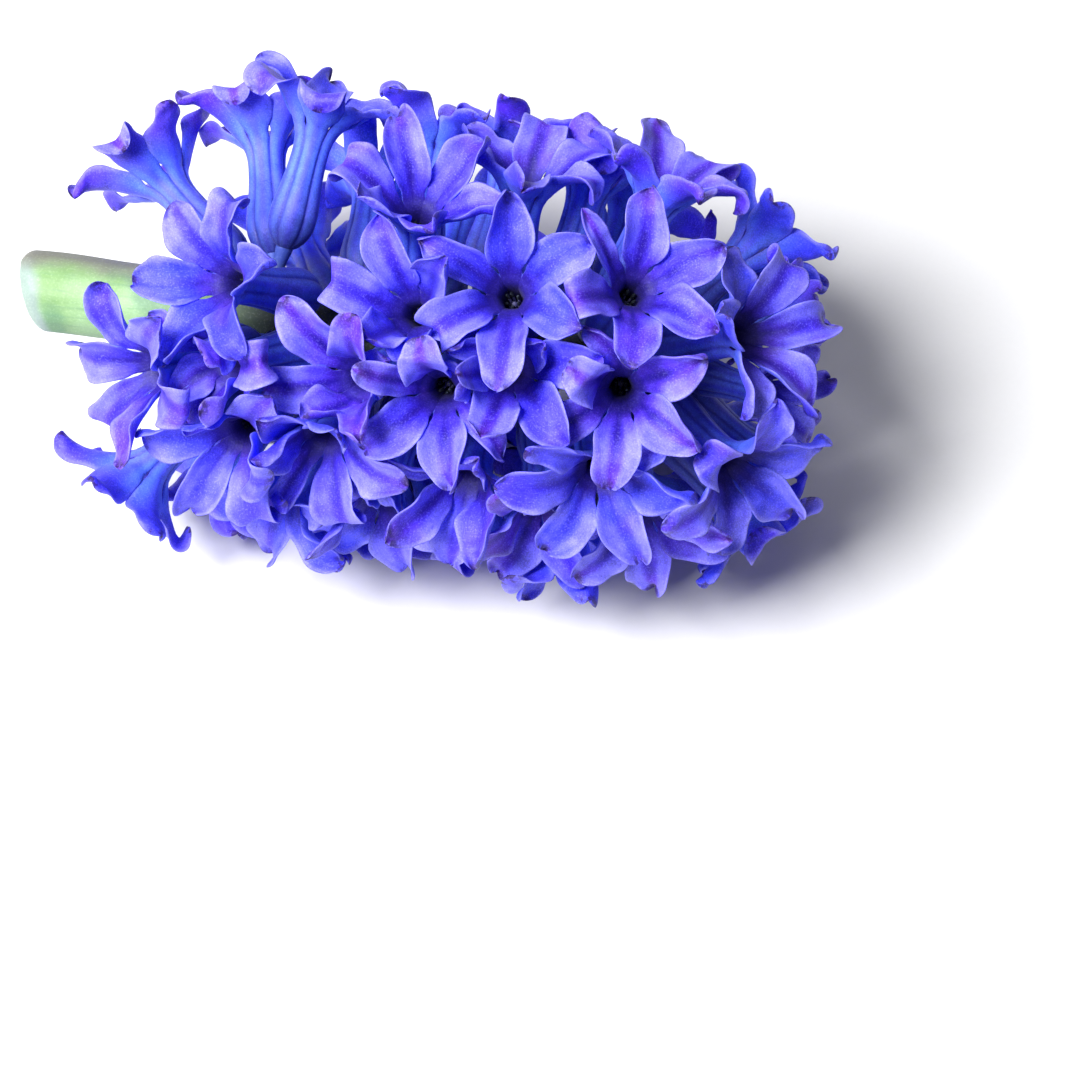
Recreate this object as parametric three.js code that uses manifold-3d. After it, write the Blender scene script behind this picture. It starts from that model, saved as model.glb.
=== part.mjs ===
// A cut hyacinth flower, lying on its side: a thick green stalk, pedicels all round it, and on each
// pedicel one bell-shaped floret whose six lobes spread and curl back.
// Millimetres and degrees. X runs along the stalk towards its tip and Z is up.
import * as THREE from "three";
import { mergeVertices } from "three/addons/utils/BufferGeometryUtils.js";
import Module from "manifold-3d";

const wasm = await Module();
wasm.setup();

// The stalk: stations along it and its radius there. It is cut off at a slant at the low end.
// The pedicels stand on it between firstFoot and lastFoot.
const stalk = {
  sides: 12,
  stations: [-7.5, -4, 12, 34, 60, 84, 100, 110],
  radii: [6.9, 7.0, 6.8, 6.2, 5.2, 4.1, 3.0, 1.6],
  cutSlant: 16,
  slantTowards: { y: 0.88, z: 0.47 },
  firstFoot: 14,
  lastFoot: 108,
};
// The pedicels: how far they are sunk in the stalk, and the gap to the floret that each one carries
const pedicel = {
  length: 5,
  shortest: 1.5,
  rootDepth: 2.6,
  rootRadius: 1.3,
  endRadius: 1.5,
  sides: 4,
  gap: 0.3,
};

// One floret: a tube with a ribbed belly, and six lobes that leave its throat
const tube = {
  length: 21,
  heights: [0, 5.5, 13, 21],
  radii: [1.5, 4.1, 3.5, 4.0],
  roomRadii: [1.7, 4.3, 3.9, 4.8],
  rib: 0.045,
  floorHeight: 11,
  floorRadius: 2.1,
  heartHeight: 16.5,
};
const lobe = {
  count: 6,
  rows: [0, 0.3, 0.6, 0.86],
  length: 14,
  halfWidth: 3.4,
  widestAt: 0.45,
  thickness: 0.9,
  sinusRise: 0.25,
  rootChannel: 0.6,
  tipChannel: 1.1,
  startAngle: 28,
  tipShape: 1.5,
  lengthSpread: 0.11,
  curlSpread: 16,
  swingSpread: 5,
  twistSpread: 16,
};
// The surface that the flower lies on: how far it is below the stalk's axis, how far above it every
// throat stays, how far a lobe may be lifted by it, and how much of a lobe that touches it is flat
const lying = { height: 36.5, throatRoom: 6.6, lift: 6, flat: 0.25 };

// Florets on the seen side. along: the throat's place along the stalk. around: the angle round the
// stalk from straight up, positive to the front. lean: the tilt towards the tip. turn: the angle of
// the first lobe about the floret's own axis. reach: extra length of pedicel. curl: how far the
// lobes bend away from the floret's axis. size: 1 if left out, less for the young ones at the tip.
const seenFlorets = [
  { along: 79, around: 17, lean: -1, turn: 37, reach: 2.5, curl: 92 },
  { along: 80.5, around: 38, lean: 10, turn: 16, reach: 0.5, curl: 98 },
  { along: 98, around: 10, lean: 13, turn: 33, reach: 2, curl: 84 },
  { along: 98, around: 40, lean: 10, turn: 33, reach: 0.5, curl: 96 },
  { along: 96, around: 67, lean: 8, turn: 0, reach: 1, curl: 100 },
  { along: 64, around: 25, lean: -7, turn: 50, reach: -0.5, curl: 96 },
  { along: 62, around: -4, lean: 4, turn: 50, reach: 1.5, curl: 88 },
  { along: 70, around: 46, lean: -5, turn: 46, reach: 1.5, curl: 104 },
  { along: 56.5, around: 47, lean: -15, turn: 15, reach: -0.5, curl: 96 },
  { along: 33.5, around: 22, lean: -36, turn: 10, reach: 2, curl: 92 },
  { along: 115.5, around: 14, lean: 42, turn: 20, reach: 0.5, curl: 106 },
  { along: 77.5, around: -30, lean: 5, turn: 30, reach: -1, curl: 88 },
  { along: 99, around: -35, lean: 15, turn: 50, reach: 1, curl: 84 },
  { along: 35, around: 49, lean: -33, turn: 20, reach: 0, curl: 104 },
  { along: 37.5, around: 70, lean: -22, turn: 0, reach: 1, curl: 100 },
  { along: 51, around: 68, lean: -12, turn: 0, reach: -1, curl: 96 },
  { along: 22, around: 56, lean: -40, turn: 0, reach: -0.5, curl: 116 },
  { along: 12.5, around: -80, lean: -48, turn: 8, reach: -1, curl: 78 },
  { along: 28.5, around: -76, lean: -14, turn: 20, reach: 0.5, curl: 100 },
  { along: 40, around: -50, lean: 10, turn: 40, reach: 1.5, curl: 84 },
  { along: 59, around: -63, lean: 0, turn: 12, reach: 0.5, curl: 92 },
  { along: 72, around: -73, lean: 5, turn: 30, reach: 1.5, curl: 88 },
  { along: 87, around: -54, lean: 8, turn: 5, reach: -1, curl: 84 },
  { along: 115, around: -72, lean: 38, turn: 30, reach: -1, curl: 90 },
  { along: 116.5, around: 69, lean: 42, turn: 15, reach: 0, curl: 104 },
  { along: 75, around: 78, lean: -2, turn: 25, reach: -1, curl: 100 },
  { along: 87, around: 90, lean: 4, turn: 0, reach: -1, curl: 100 },
  { along: 103, around: 91, lean: 14, turn: 40, reach: -1, curl: 100 },
  { along: 43, around: 95, lean: -12, turn: 30, reach: -1, curl: 100 },
  { along: 60, around: 96, lean: -4, turn: 50, reach: -1, curl: 104 },
  { along: 120, around: 38, lean: 58, turn: 10, reach: 0.5, curl: 84, size: 0.76 },
  { along: 120, around: 160, lean: 60, turn: 30, reach: 0.5, curl: 84, size: 0.76 },
  { along: 120, around: -80, lean: 58, turn: 50, reach: 0.5, curl: 84, size: 0.76 },
  { along: 47, around: -92, lean: -6, turn: 10, reach: -0.5, curl: 92 },
  { along: 92, around: -91, lean: 8, turn: 20, reach: -0.5, curl: 92 },
];
// Florets on the far side and underneath, which follow each other round the stalk by the golden
// ratio as they climb it
const hiddenFlorets = {
  count: 19,
  firstAlong: 18,
  lastAlong: 118,
  firstAround: 116,
  aroundSpan: 146,
  goldenPart: 0.618034,
  leanAtFirst: -38,
  leanAtLast: 46,
  curl: 92,
  turnSpread: 30,
  reachSpread: 1.5,
};
// How crowded florets make room for each other: throats are drawn back to their places, and feet
// slide over the stalk more readily
const room = {
  passes: 90,
  clearance: 0.8,
  throatPush: 0.3,
  footPush: 0.9,
  pull: 0.06,
  levels: [1, 5, 9, 13, 17, 21],
};
// The ways in which a lobe may bend to keep clear of what is next to it, what each costs, and the
// clearance it keeps. open: how far it spreads, 1 for fully. near: how close two throats are when
// their lobes are tested. hard: how much crossing a tube, a pedicel or the stalk counts, against 1
// for a lobe. choices: among how many equal ways a lobe that stays blocked draws.
const bending = {
  swings: [0, -10, 10, -20, 20, -30, 30],
  curls: [0, -20, 20, 45],
  opens: [1, 0.62, 0.3],
  lengths: [1, 0.88, 0.76, 0.64],
  swingCost: 0.1,
  curlCost: 0.045,
  openCost: 6,
  lengthCost: 16,
  clearance: 0.22,
  near: 50,
  hard: 3,
  choices: 60,
  sweeps: 40,
  easings: 2,
};

const rad = THREE.MathUtils.degToRad;
const X = new THREE.Vector3(1, 0, 0);

// A seeded draw from -1 to 1 for item a, detail b
function draw(a, b) {
  let state = (a * 7919 + b * 104729 + 12345) >>> 0;
  for (let i = 0; i < 3; i++) state = (Math.imul(state, 1664525) + 1013904223) >>> 0;
  return state / 2147483648 - 1;
}

function mix(a, b, t) {
  return a + (b - a) * t;
}

// Straight-line interpolation in a table of places and values
function along(places, values, at) {
  let i = 0;
  while (i < places.length - 2 && at > places[i + 1]) i++;
  const t = Math.min(1, Math.max(0, (at - places[i]) / (places[i + 1] - places[i])));
  return mix(values[i], values[i + 1], t);
}

// Every way that a lobe may bend, the least change first
const ways = bending.lengths
  .flatMap((length) =>
    bending.opens.flatMap((open) =>
      bending.curls.flatMap((curl) =>
        bending.swings.map((swing) => ({
          swing,
          curl,
          open,
          length,
          cost:
            Math.abs(swing) * bending.swingCost +
            Math.abs(curl) * bending.curlCost +
            (1 - open) * bending.openCost +
            (1 - length) * bending.lengthCost,
        })),
      ),
    ),
  )
  .sort((a, b) => a.cost - b.cost);

// Unit vector that points away from the stalk's axis through point p
function awayFromAxis(p) {
  return new THREE.Vector3(0, p.y, p.z).normalize();
}

// Slides point p to the stalk's surface
function ontoStalk(p) {
  const x = THREE.MathUtils.clamp(p.x, stalk.firstFoot, stalk.lastFoot);
  return awayFromAxis(p).multiplyScalar(along(stalk.stations, stalk.radii, x)).setX(x);
}

// Foot and throat of a floret as listed
function wantedPlace(floret) {
  const a = rad(floret.around);
  const lean = rad(floret.lean);
  const radial = new THREE.Vector3(0, -Math.sin(a), Math.cos(a));
  const up = radial.clone().multiplyScalar(Math.cos(lean)).addScaledVector(X, Math.sin(lean));
  // The surface presses the florets under the stalk a little closer to it.
  const lowest = lying.height - lying.throatRoom;
  const footHeight = along(stalk.stations, stalk.radii, floret.along) * radial.z;
  const reachable = up.z < 0 ? (lowest + footHeight) / -up.z : Infinity;
  const length = Math.min(pedicel.length + floret.reach + tube.length * floret.size, reachable);
  const footX = floret.along - length * Math.sin(lean);
  const foot = ontoStalk(radial.setX(footX));
  return { foot, throat: foot.clone().addScaledVector(up, length) };
}

// How far a tube reaches from its own axis at height h
function girth(h) {
  return along(tube.heights, tube.roomRadii, h);
}

// Where two florets are closest to touching, or null if they have room. The tube hangs from the
// throat, so heights count back from there.
function tightest(a, b) {
  let found = null;
  for (const ha of room.levels) {
    for (const hb of room.levels) {
      const pa = a.throat.clone().addScaledVector(a.up, (ha - tube.length) * a.size);
      const pb = b.throat.clone().addScaledVector(b.up, (hb - tube.length) * b.size);
      const gap = pa.sub(pb);
      const lack = girth(ha) * a.size + girth(hb) * b.size + room.clearance - gap.length();
      if (lack > (found ? found.lack : 0)) found = { lack, push: gap.normalize(), ha, hb };
    }
  }
  return found;
}

// Every floret, seen ones first, shifted until the tubes have room
function placeFlorets() {
  const all = seenFlorets.map((f) => ({ size: 1, ...f }));
  for (let j = 0; j < hiddenFlorets.count; j++) {
    const t = j / (hiddenFlorets.count - 1);
    const part = (j * hiddenFlorets.goldenPart) % 1;
    all.push({
      along: mix(hiddenFlorets.firstAlong, hiddenFlorets.lastAlong, t),
      around: hiddenFlorets.firstAround + hiddenFlorets.aroundSpan * part,
      lean: mix(hiddenFlorets.leanAtFirst, hiddenFlorets.leanAtLast, t),
      turn: hiddenFlorets.turnSpread * draw(j, 50),
      reach: hiddenFlorets.reachSpread * draw(j, 51),
      curl: hiddenFlorets.curl,
      size: 1,
    });
  }
  all.forEach((f, id) => {
    Object.assign(f, wantedPlace(f), { id });
    f.home = f.throat.clone();
  });
  for (let pass = 0; pass < room.passes; pass++) {
    for (const f of all) {
      f.up = f.throat.clone().sub(f.foot);
      f.length = f.up.length();
      f.up.normalize();
      f.throatMove = f.home.clone().sub(f.throat).multiplyScalar(room.pull);
      f.footMove = new THREE.Vector3();
    }
    for (let i = 0; i < all.length; i++) {
      for (let j = i + 1; j < all.length; j++) {
        const a = all[i];
        const b = all[j];
        const tight = tightest(a, b);
        if (!tight) continue;
        for (const [f, h, sign] of [[a, tight.ha, 1], [b, tight.hb, -1]]) {
          const share = 1 - ((tube.length - h) * f.size) / f.length;
          f.throatMove.addScaledVector(tight.push, sign * share * tight.lack * room.throatPush);
          f.footMove.addScaledVector(tight.push, sign * (1 - share) * tight.lack * room.footPush);
        }
      }
    }
    for (const f of all) {
      f.throat.add(f.throatMove);
      f.throat.z = Math.max(f.throat.z, lying.throatRoom - lying.height);
      f.foot = ontoStalk(f.foot.add(f.footMove));
      // The pedicel keeps at least this length.
      const short = tube.length * f.size + pedicel.shortest - f.throat.distanceTo(f.foot);
      if (short > 0) f.throat.addScaledVector(f.up, short);
    }
  }
  for (const f of all) {
    f.up = f.throat.clone().sub(f.foot).normalize();
    f.base = f.throat.clone().addScaledVector(f.up, -tube.length * f.size);
    f.stem = f.base.distanceTo(f.foot);
    f.side = X.clone().addScaledVector(f.up, -f.up.x).normalize();
    f.across = new THREE.Vector3().crossVectors(f.up, f.side);
    f.fits = Array.from({ length: lobe.count }, () => ways[0]);
  }
  return all;
}

// World height of a point that is given in a floret's own axes
function heightOf(floret, p) {
  return floret.base.z + (p.x * floret.side.z + p.y * floret.across.z + p.z * floret.up.z) * floret.size;
}

// The four corners of a lobe's section: left, right, and the middle of its outer and inner face
function lobeCorners(s, grow = 0) {
  const rim = s.centre.clone().addScaledVector(s.face, s.channel);
  const edge = (sign) => rim.clone().addScaledVector(s.sideways, sign * (s.half + grow));
  const middle = (sign) => s.centre.clone().addScaledVector(s.face, sign * (lobe.thickness / 2 + grow));
  return [edge(-1), edge(1), middle(-1), middle(1)];
}

// A lobe's section at t, from 0 at the throat to 1 at its tip, in the floret's own axes. A section
// that would sink into the surface is lifted on to it.
function lobeSection(floret, k, fit, t) {
  const id = floret.id * 10 + k;
  const swing = lobe.swingSpread * draw(id, 1) + fit.swing;
  const angle = rad(floret.turn + (360 / lobe.count) * k + swing * t);
  const length = lobe.length * (1 + lobe.lengthSpread * draw(id, 2)) * fit.length;
  const start = rad(lobe.startAngle) * fit.open;
  const curl = rad(floret.curl + lobe.curlSpread * draw(id, 3) + fit.curl) * fit.open;
  const bend = curl - start;
  const lean = start + bend * t;
  const radius = tube.radii.at(-1) + (length / bend) * (Math.cos(start) - Math.cos(lean));
  const height = tube.length + (length / bend) * (Math.sin(lean) - Math.sin(start));
  const outward = new THREE.Vector3(Math.cos(angle), Math.sin(angle), 0);
  const sideways = new THREE.Vector3(-Math.sin(angle), Math.cos(angle), 0);
  const face = outward.clone().multiplyScalar(-Math.cos(lean)).setZ(Math.sin(lean));
  const lengthways = outward.clone().multiplyScalar(Math.sin(lean)).setZ(Math.cos(lean));
  const twist = rad(lobe.twistSpread * draw(id, 4)) * t;
  sideways.applyAxisAngle(lengthways, twist);
  face.applyAxisAngle(lengthways, twist);
  const growth = Math.min(1, t / lobe.widestAt);
  const swell = mix(tube.radii.at(-1) / 2, lobe.halfWidth, growth * growth * (3 - 2 * growth));
  const past = Math.max(0, (t - lobe.widestAt) / (1 - lobe.widestAt));
  const half = swell * Math.sqrt(Math.max(0, 1 - past ** lobe.tipShape));
  const channel = mix(lobe.rootChannel, lobe.tipChannel, t) * (half / lobe.halfWidth);
  const section = { centre: outward.multiplyScalar(radius).setZ(height), sideways, face, half, channel };
  const lowest = Math.min(...lobeCorners(section).map((p) => heightOf(floret, p)));
  section.lift = Math.max(0, -lying.height - lying.flat - lowest);
  const rise = section.lift / floret.size;
  section.centre.x += rise * floret.side.z;
  section.centre.y += rise * floret.across.z;
  section.centre.z += rise * floret.up.z;
  return section;
}

// Triangles of a lobe's two faces between two rows of corners, split alike on both faces
function lobeStrip([l, r, o, i], [l2, r2, o2, i2]) {
  const outer = [[l, o, o2], [l, o2, l2], [o, r, r2], [o, r2, o2]];
  const inner = [[l, i2, i], [l, l2, i2], [i, r2, r], [i, i2, r2]];
  return [...outer, ...inner];
}

function lobeTip([l, r, o, i], tip) {
  return [[l, o, tip], [o, r, tip], [l, tip, i], [i, tip, r]];
}

// A ring of twelve points: lobe middles and the sinuses between the lobes in turn
function tubeRing(floret, height, middleRadius, sinusRadius) {
  return Array.from({ length: lobe.count * 2 }, (_, j) => {
    const a = rad(floret.turn + (180 / lobe.count) * j);
    const r = j % 2 ? sinusRadius : middleRadius;
    return new THREE.Vector3(r * Math.cos(a), r * Math.sin(a), height);
  });
}

function ribbedRing(floret, height, radius) {
  return tubeRing(floret, height, radius * (1 + tube.rib), radius * (1 - tube.rib));
}

// Triangles between a lower and an upper ring, facing away from their axis
function ringWall(low, high) {
  return low.flatMap((p, j) => {
    const n = (j + 1) % low.length;
    return [[p, low[n], high[n]], [p, high[n], high[j]]];
  });
}

function fan(ring, tip) {
  return ring.map((p, j) => [p, ring[(j + 1) % ring.length], tip]);
}

function flipped(triangles) {
  return triangles.map(([a, b, c]) => [a, c, b]);
}

// A closed mesh of a whole floret, as a list of triangles: the tube's outside, its hollow with the
// pistil and stamens as a slim cone on its floor, and six lobes
function floretTriangles(floret) {
  const throat = tube.radii.at(-1);
  const [base, belly, neck] = tube.heights.map((h, i) => ribbedRing(floret, h, tube.radii[i]));
  const rows = floret.fits.map((fit, k) =>
    lobe.rows.map((t) => lobeCorners(lobeSection(floret, k, fit, t))),
  );
  const sinus = tubeRing(floret, tube.length + lobe.sinusRise, throat, throat);
  const outerRim = sinus.map((p, j) => (j % 2 ? p : rows[j / 2][0][2]));
  const innerRim = sinus.map((p, j) => (j % 2 ? p : rows[j / 2][0][3]));
  const floor = tubeRing(floret, tube.floorHeight, tube.floorRadius, tube.floorRadius);
  const heart = new THREE.Vector3(0, 0, tube.heartHeight);
  const points = lobe.count * 2;
  const lobes = floret.fits.flatMap((fit, k) => {
    const left = sinus[(2 * k + points - 1) % points];
    const right = sinus[2 * k + 1];
    const own = [[left, right, outerRim[2 * k], innerRim[2 * k]], ...rows[k].slice(1)];
    const tip = lobeSection(floret, k, fit, 1).centre;
    return [...own.slice(1).flatMap((row, i) => lobeStrip(own[i], row)), ...lobeTip(own.at(-1), tip)];
  });
  return [
    ...flipped(fan(base, new THREE.Vector3(0, 0, 0))),
    ...ringWall(base, belly),
    ...ringWall(belly, neck),
    ...ringWall(neck, outerRim),
    ...flipped(ringWall(floor, innerRim)),
    ...fan(floor, heart),
    ...lobes,
  ];
}

// A triangle list as an indexed geometry with shared corners merged
function geometryOf(triangles) {
  const flat = new Float32Array(triangles.length * 9);
  triangles.forEach((t, i) => t.forEach((p, j) => p.toArray(flat, i * 9 + j * 3)));
  const loose = new THREE.BufferGeometry();
  loose.setAttribute("position", new THREE.BufferAttribute(flat, 3));
  return mergeVertices(loose, 1e-4);
}

function solidOf(triangles) {
  const g = geometryOf(triangles);
  return new wasm.Manifold(
    new wasm.Mesh({
      numProp: 3,
      vertProperties: g.attributes.position.array,
      triVerts: new Uint32Array(g.index.array),
    }),
  );
}

function geometryFromSolid(solid) {
  const m = solid.getMesh();
  const positions = new Float32Array(m.numVert * 3);
  for (let i = 0; i < m.numVert; i++) {
    positions.set(m.vertProperties.subarray(i * m.numProp, i * m.numProp + 3), i * 3);
  }
  return new THREE.BufferGeometry()
    .setAttribute("position", new THREE.BufferAttribute(positions, 3))
    .setIndex(new THREE.BufferAttribute(new Uint32Array(m.triVerts), 1));
}

// A small closed mesh made ready for the crossing test below
function testMesh(triangles) {
  const edges = new Map();
  const key = (p) => p.toArray().map((v) => v.toFixed(4)).join();
  const box = new THREE.Box3();
  for (const t of triangles) {
    t.forEach((p, i) => {
      const q = t[(i + 1) % 3];
      const [a, b] = [key(p), key(q)];
      edges.set(a < b ? a + b : b + a, [p, q]);
      box.expandByPoint(p);
    });
  }
  return { triangles, edges: [...edges.values()], box };
}

const scratch = Array.from({ length: 4 }, () => new THREE.Vector3());

// Whether the segment from p along d goes through triangle abc
function pierces(p, d, [a, b, c]) {
  const [e1, e2, s, h] = scratch;
  e1.subVectors(b, a);
  e2.subVectors(c, a);
  h.crossVectors(d, e2);
  const det = e1.dot(h);
  if (Math.abs(det) < 1e-12) return false;
  s.subVectors(p, a);
  const u = s.dot(h) / det;
  if (u < 0 || u > 1) return false;
  h.crossVectors(s, e1);
  const v = d.dot(h) / det;
  if (v < 0 || u + v > 1) return false;
  const t = e2.dot(h) / det;
  return t >= 0 && t <= 1;
}

function goesThrough({ edges }, { box, triangles }) {
  const d = new THREE.Vector3();
  const { min, max } = box;
  for (const [p, q] of edges) {
    if (Math.max(p.x, q.x) < min.x || Math.min(p.x, q.x) > max.x) continue;
    if (Math.max(p.y, q.y) < min.y || Math.min(p.y, q.y) > max.y) continue;
    if (Math.max(p.z, q.z) < min.z || Math.min(p.z, q.z) > max.z) continue;
    d.subVectors(q, p);
    for (const t of triangles) if (pierces(p, d, t)) return true;
  }
  return false;
}

function cross(one, two) {
  if (!one.box.intersectsBox(two.box)) return false;
  return goesThrough(one, two) || goesThrough(two, one);
}

function floretMatrix(floret) {
  return new THREE.Matrix4()
    .makeBasis(floret.side, floret.across, floret.up)
    .scale(new THREE.Vector3(floret.size, floret.size, floret.size))
    .setPosition(floret.base);
}

function placed(floret, triangles) {
  const m = floretMatrix(floret);
  return triangles.map((t) => t.map((p) => p.clone().applyMatrix4(m)));
}

// A lobe as a closed mesh on its own, grown on all sides, from row `from` outwards
function lobeTest(floret, k, fit, grow, from) {
  const places = [...lobe.rows.slice(from), 1 + grow / lobe.length];
  const sections = places.map((t) => lobeSection(floret, k, fit, t));
  const rows = sections.slice(0, -1).map((s) => lobeCorners(s, grow));
  const [l, r, o, i] = rows[0];
  const triangles = [
    [l, r, o],
    [l, i, r],
    ...rows.slice(1).flatMap((row, n) => lobeStrip(rows[n], row)),
    ...lobeTip(rows.at(-1), sections.at(-1).centre),
  ];
  return { ...testMesh(placed(floret, triangles)), lift: Math.max(...sections.map((s) => s.lift)) };
}

function tubeTest(floret) {
  const rings = tube.heights.map((h, i) => ribbedRing(floret, h, tube.radii[i]));
  const walls = rings.slice(1).flatMap((ring, i) => ringWall(rings[i], ring));
  const foot = flipped(fan(rings[0], new THREE.Vector3(0, 0, 0)));
  const mouth = fan(rings.at(-1), new THREE.Vector3(0, 0, tube.length));
  return testMesh(placed(floret, [...walls, ...foot, ...mouth]));
}

// Bends each lobe, by the least that is enough, until no lobe crosses another floret, the stalk
// or a pedicel
function bendClear(florets, stems) {
  const tubes = florets.map(tubeTest);
  const whole = florets.map((f) => f.fits.map((fit, k) => lobeTest(f, k, fit, 0, 0)));
  const free = florets.map((f) => f.fits.map((fit, k) => lobeTest(f, k, fit, 0, 1)));
  const isNear = (f, g) => g !== f && f.throat.distanceTo(g.throat) < bending.near;
  const near = florets.map((f) => florets.filter((g) => isNear(f, g)));
  // How much a lobe crosses when it bends as `fit`, counted no further than `most`
  const crossings = (f, k, fit, most) => {
    const grown = lobeTest(f, k, fit, bending.clearance, 0);
    let sum = grown.lift > lying.lift ? bending.hard : 0;
    const add = (other, weight) => {
      if (sum < most && cross(grown, other)) sum += weight;
    };
    stems.forEach((s) => add(s, bending.hard));
    for (const g of near[f.id]) {
      add(tubes[g.id], bending.hard);
      whole[g.id].forEach((w) => add(w, 1));
    }
    if (sum < most) {
      const own = lobeTest(f, k, fit, bending.clearance / 2, 1);
      const { count } = lobe;
      for (const n of [(k + 1) % count, (k + count - 1) % count]) {
        if (cross(own, free[f.id][n])) sum += 1;
      }
    }
    return sum;
  };
  const bend = (f, k, fit) => {
    f.fits[k] = fit;
    whole[f.id][k] = lobeTest(f, k, fit, 0, 0);
    free[f.id][k] = lobeTest(f, k, fit, 0, 1);
  };
  const leastSeenFirst = [...florets].reverse();
  for (let sweep = 0, left = 1; left && sweep < bending.sweeps; sweep++) {
    left = 0;
    for (const f of leastSeenFirst) {
      for (let k = 0; k < lobe.count; k++) {
        let least = crossings(f, k, f.fits[k], Infinity);
        if (least === 0) continue;
        // The cheapest clear way, or else one of the ways that cross least, drawn at random
        let best = [];
        for (const way of ways) {
          const found = crossings(f, k, way, least + 1);
          if (found < least) best = [];
          if (found <= least) best.push(way);
          least = Math.min(least, found);
          if (least === 0) break;
        }
        if (least > 0) left++;
        if (!best.length) continue;
        const choices = Math.min(best.length, bending.choices);
        const pick = Math.floor(Math.abs(draw(f.id * 10 + k, 100 + sweep)) * choices);
        bend(f, k, best[pick]);
      }
    }
  }
  // What has room by now goes back towards its own shape.
  for (let sweep = 0; sweep < bending.easings; sweep++) {
    for (const f of florets) {
      f.fits.forEach((fit, k) => {
        const easier = ways.find((w) => w.cost < fit.cost && crossings(f, k, w, 1) === 0);
        if (easier) bend(f, k, easier);
      });
    }
  }
}

// Rings along the stalk, the first one slanted where it is cut
function stalkRings() {
  const slant = Math.tan(rad(stalk.cutSlant));
  return stalk.stations.map((x, i) =>
    Array.from({ length: stalk.sides }, (_, j) => {
      const a = rad((360 / stalk.sides) * j);
      const p = new THREE.Vector3(x, stalk.radii[i] * Math.cos(a), stalk.radii[i] * Math.sin(a));
      if (i === 0) p.x -= slant * (stalk.slantTowards.y * p.y + stalk.slantTowards.z * p.z);
      return p;
    }),
  );
}

function pedicelRings(floret) {
  const ends = [
    [-pedicel.rootDepth, pedicel.rootRadius],
    [floret.stem - pedicel.gap, pedicel.endRadius * floret.size],
  ];
  return ends.map(([h, r]) =>
    Array.from({ length: pedicel.sides }, (_, j) => {
      const a = rad((360 / pedicel.sides) * j);
      return floret.foot
        .clone()
        .addScaledVector(floret.up, h)
        .addScaledVector(floret.side, r * Math.cos(a))
        .addScaledVector(floret.across, r * Math.sin(a));
    }),
  );
}

function middleOf(ring) {
  const sum = ring.reduce((s, p) => s.add(p), new THREE.Vector3());
  return sum.multiplyScalar(1 / ring.length);
}

// The solid skin over a row of rings, closed at both ends
function closedRings(rings) {
  return [
    ...flipped(fan(rings[0], middleOf(rings[0]))),
    ...rings.slice(1).flatMap((ring, i) => ringWall(rings[i], ring)),
    ...fan(rings.at(-1), middleOf(rings.at(-1))),
  ];
}

const florets = placeFlorets();
const stalkTriangles = closedRings(stalkRings());
const pedicelTriangles = florets.map((f) => closedRings(pedicelRings(f)));
bendClear(florets, [stalkTriangles, ...pedicelTriangles].map(testMesh));

const green = new THREE.MeshStandardMaterial({ color: 0x9cc07a, roughness: 0.5, metalness: 0 });
const blue = new THREE.MeshStandardMaterial({ color: 0x4b3fe0, roughness: 0.55, metalness: 0 });

const flower = new THREE.Group();
const scape = pedicelTriangles.reduce((s, p) => s.add(solidOf(p)), solidOf(stalkTriangles));
const scapeMesh = new THREE.Mesh(geometryFromSolid(scape), green);
scapeMesh.name = "scape";
flower.add(scapeMesh);

// Each floret is made in its own axes, and what lies on the surface is cut flat there.
for (const f of florets) {
  const upright = [f.side.z, f.across.z, f.up.z];
  const surface = (-lying.height - f.base.z) / f.size;
  const resting = solidOf(floretTriangles(f)).trimByPlane(upright, surface);
  const mesh = new THREE.Mesh(geometryFromSolid(resting), blue);
  mesh.name = "floret_" + String(f.id + 1).padStart(2, "0");
  mesh.applyMatrix4(floretMatrix(f));
  flower.add(mesh);
}

// The part's frame: the surface is at Z 0, and the box's middle is over the origin
flower.updateMatrixWorld(true);
const box = new THREE.Box3().setFromObject(flower, true);
flower.position.set(-(box.min.x + box.max.x) / 2, -(box.min.y + box.max.y) / 2, -box.min.z);

export default flower;
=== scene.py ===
import math
import bmesh
import bpy
import numpy as np
from mathutils import Matrix, Vector
from mathutils.bvhtree import BVHTree


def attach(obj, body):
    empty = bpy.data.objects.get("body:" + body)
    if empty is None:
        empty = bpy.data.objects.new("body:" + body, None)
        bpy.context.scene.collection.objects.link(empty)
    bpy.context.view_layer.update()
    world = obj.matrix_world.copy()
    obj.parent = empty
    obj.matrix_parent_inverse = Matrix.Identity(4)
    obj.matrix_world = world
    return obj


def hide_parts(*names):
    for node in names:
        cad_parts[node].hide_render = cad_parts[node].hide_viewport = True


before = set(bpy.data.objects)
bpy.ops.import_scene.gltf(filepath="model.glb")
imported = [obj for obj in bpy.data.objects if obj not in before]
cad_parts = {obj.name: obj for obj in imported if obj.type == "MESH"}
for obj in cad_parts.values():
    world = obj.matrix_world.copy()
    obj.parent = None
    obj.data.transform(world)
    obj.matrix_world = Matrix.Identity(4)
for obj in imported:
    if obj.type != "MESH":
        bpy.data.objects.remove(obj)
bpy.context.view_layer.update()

# Looks of a cut hyacinth flower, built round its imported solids. Shapes are worked out in millimetres
# along the stalk's own axis, then moved into the part's frame in metres.
flowerShift = np.array([-62.339, 0.545, 36.5])  # mm, from the stalk's axis to the part's frame
surfaceHeight = -36.5  # the surface that the flower lies on, seen from the stalk's axis
axisX = np.array([1.0, 0, 0])
upward = np.array([0, 0, 1.0])

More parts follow.
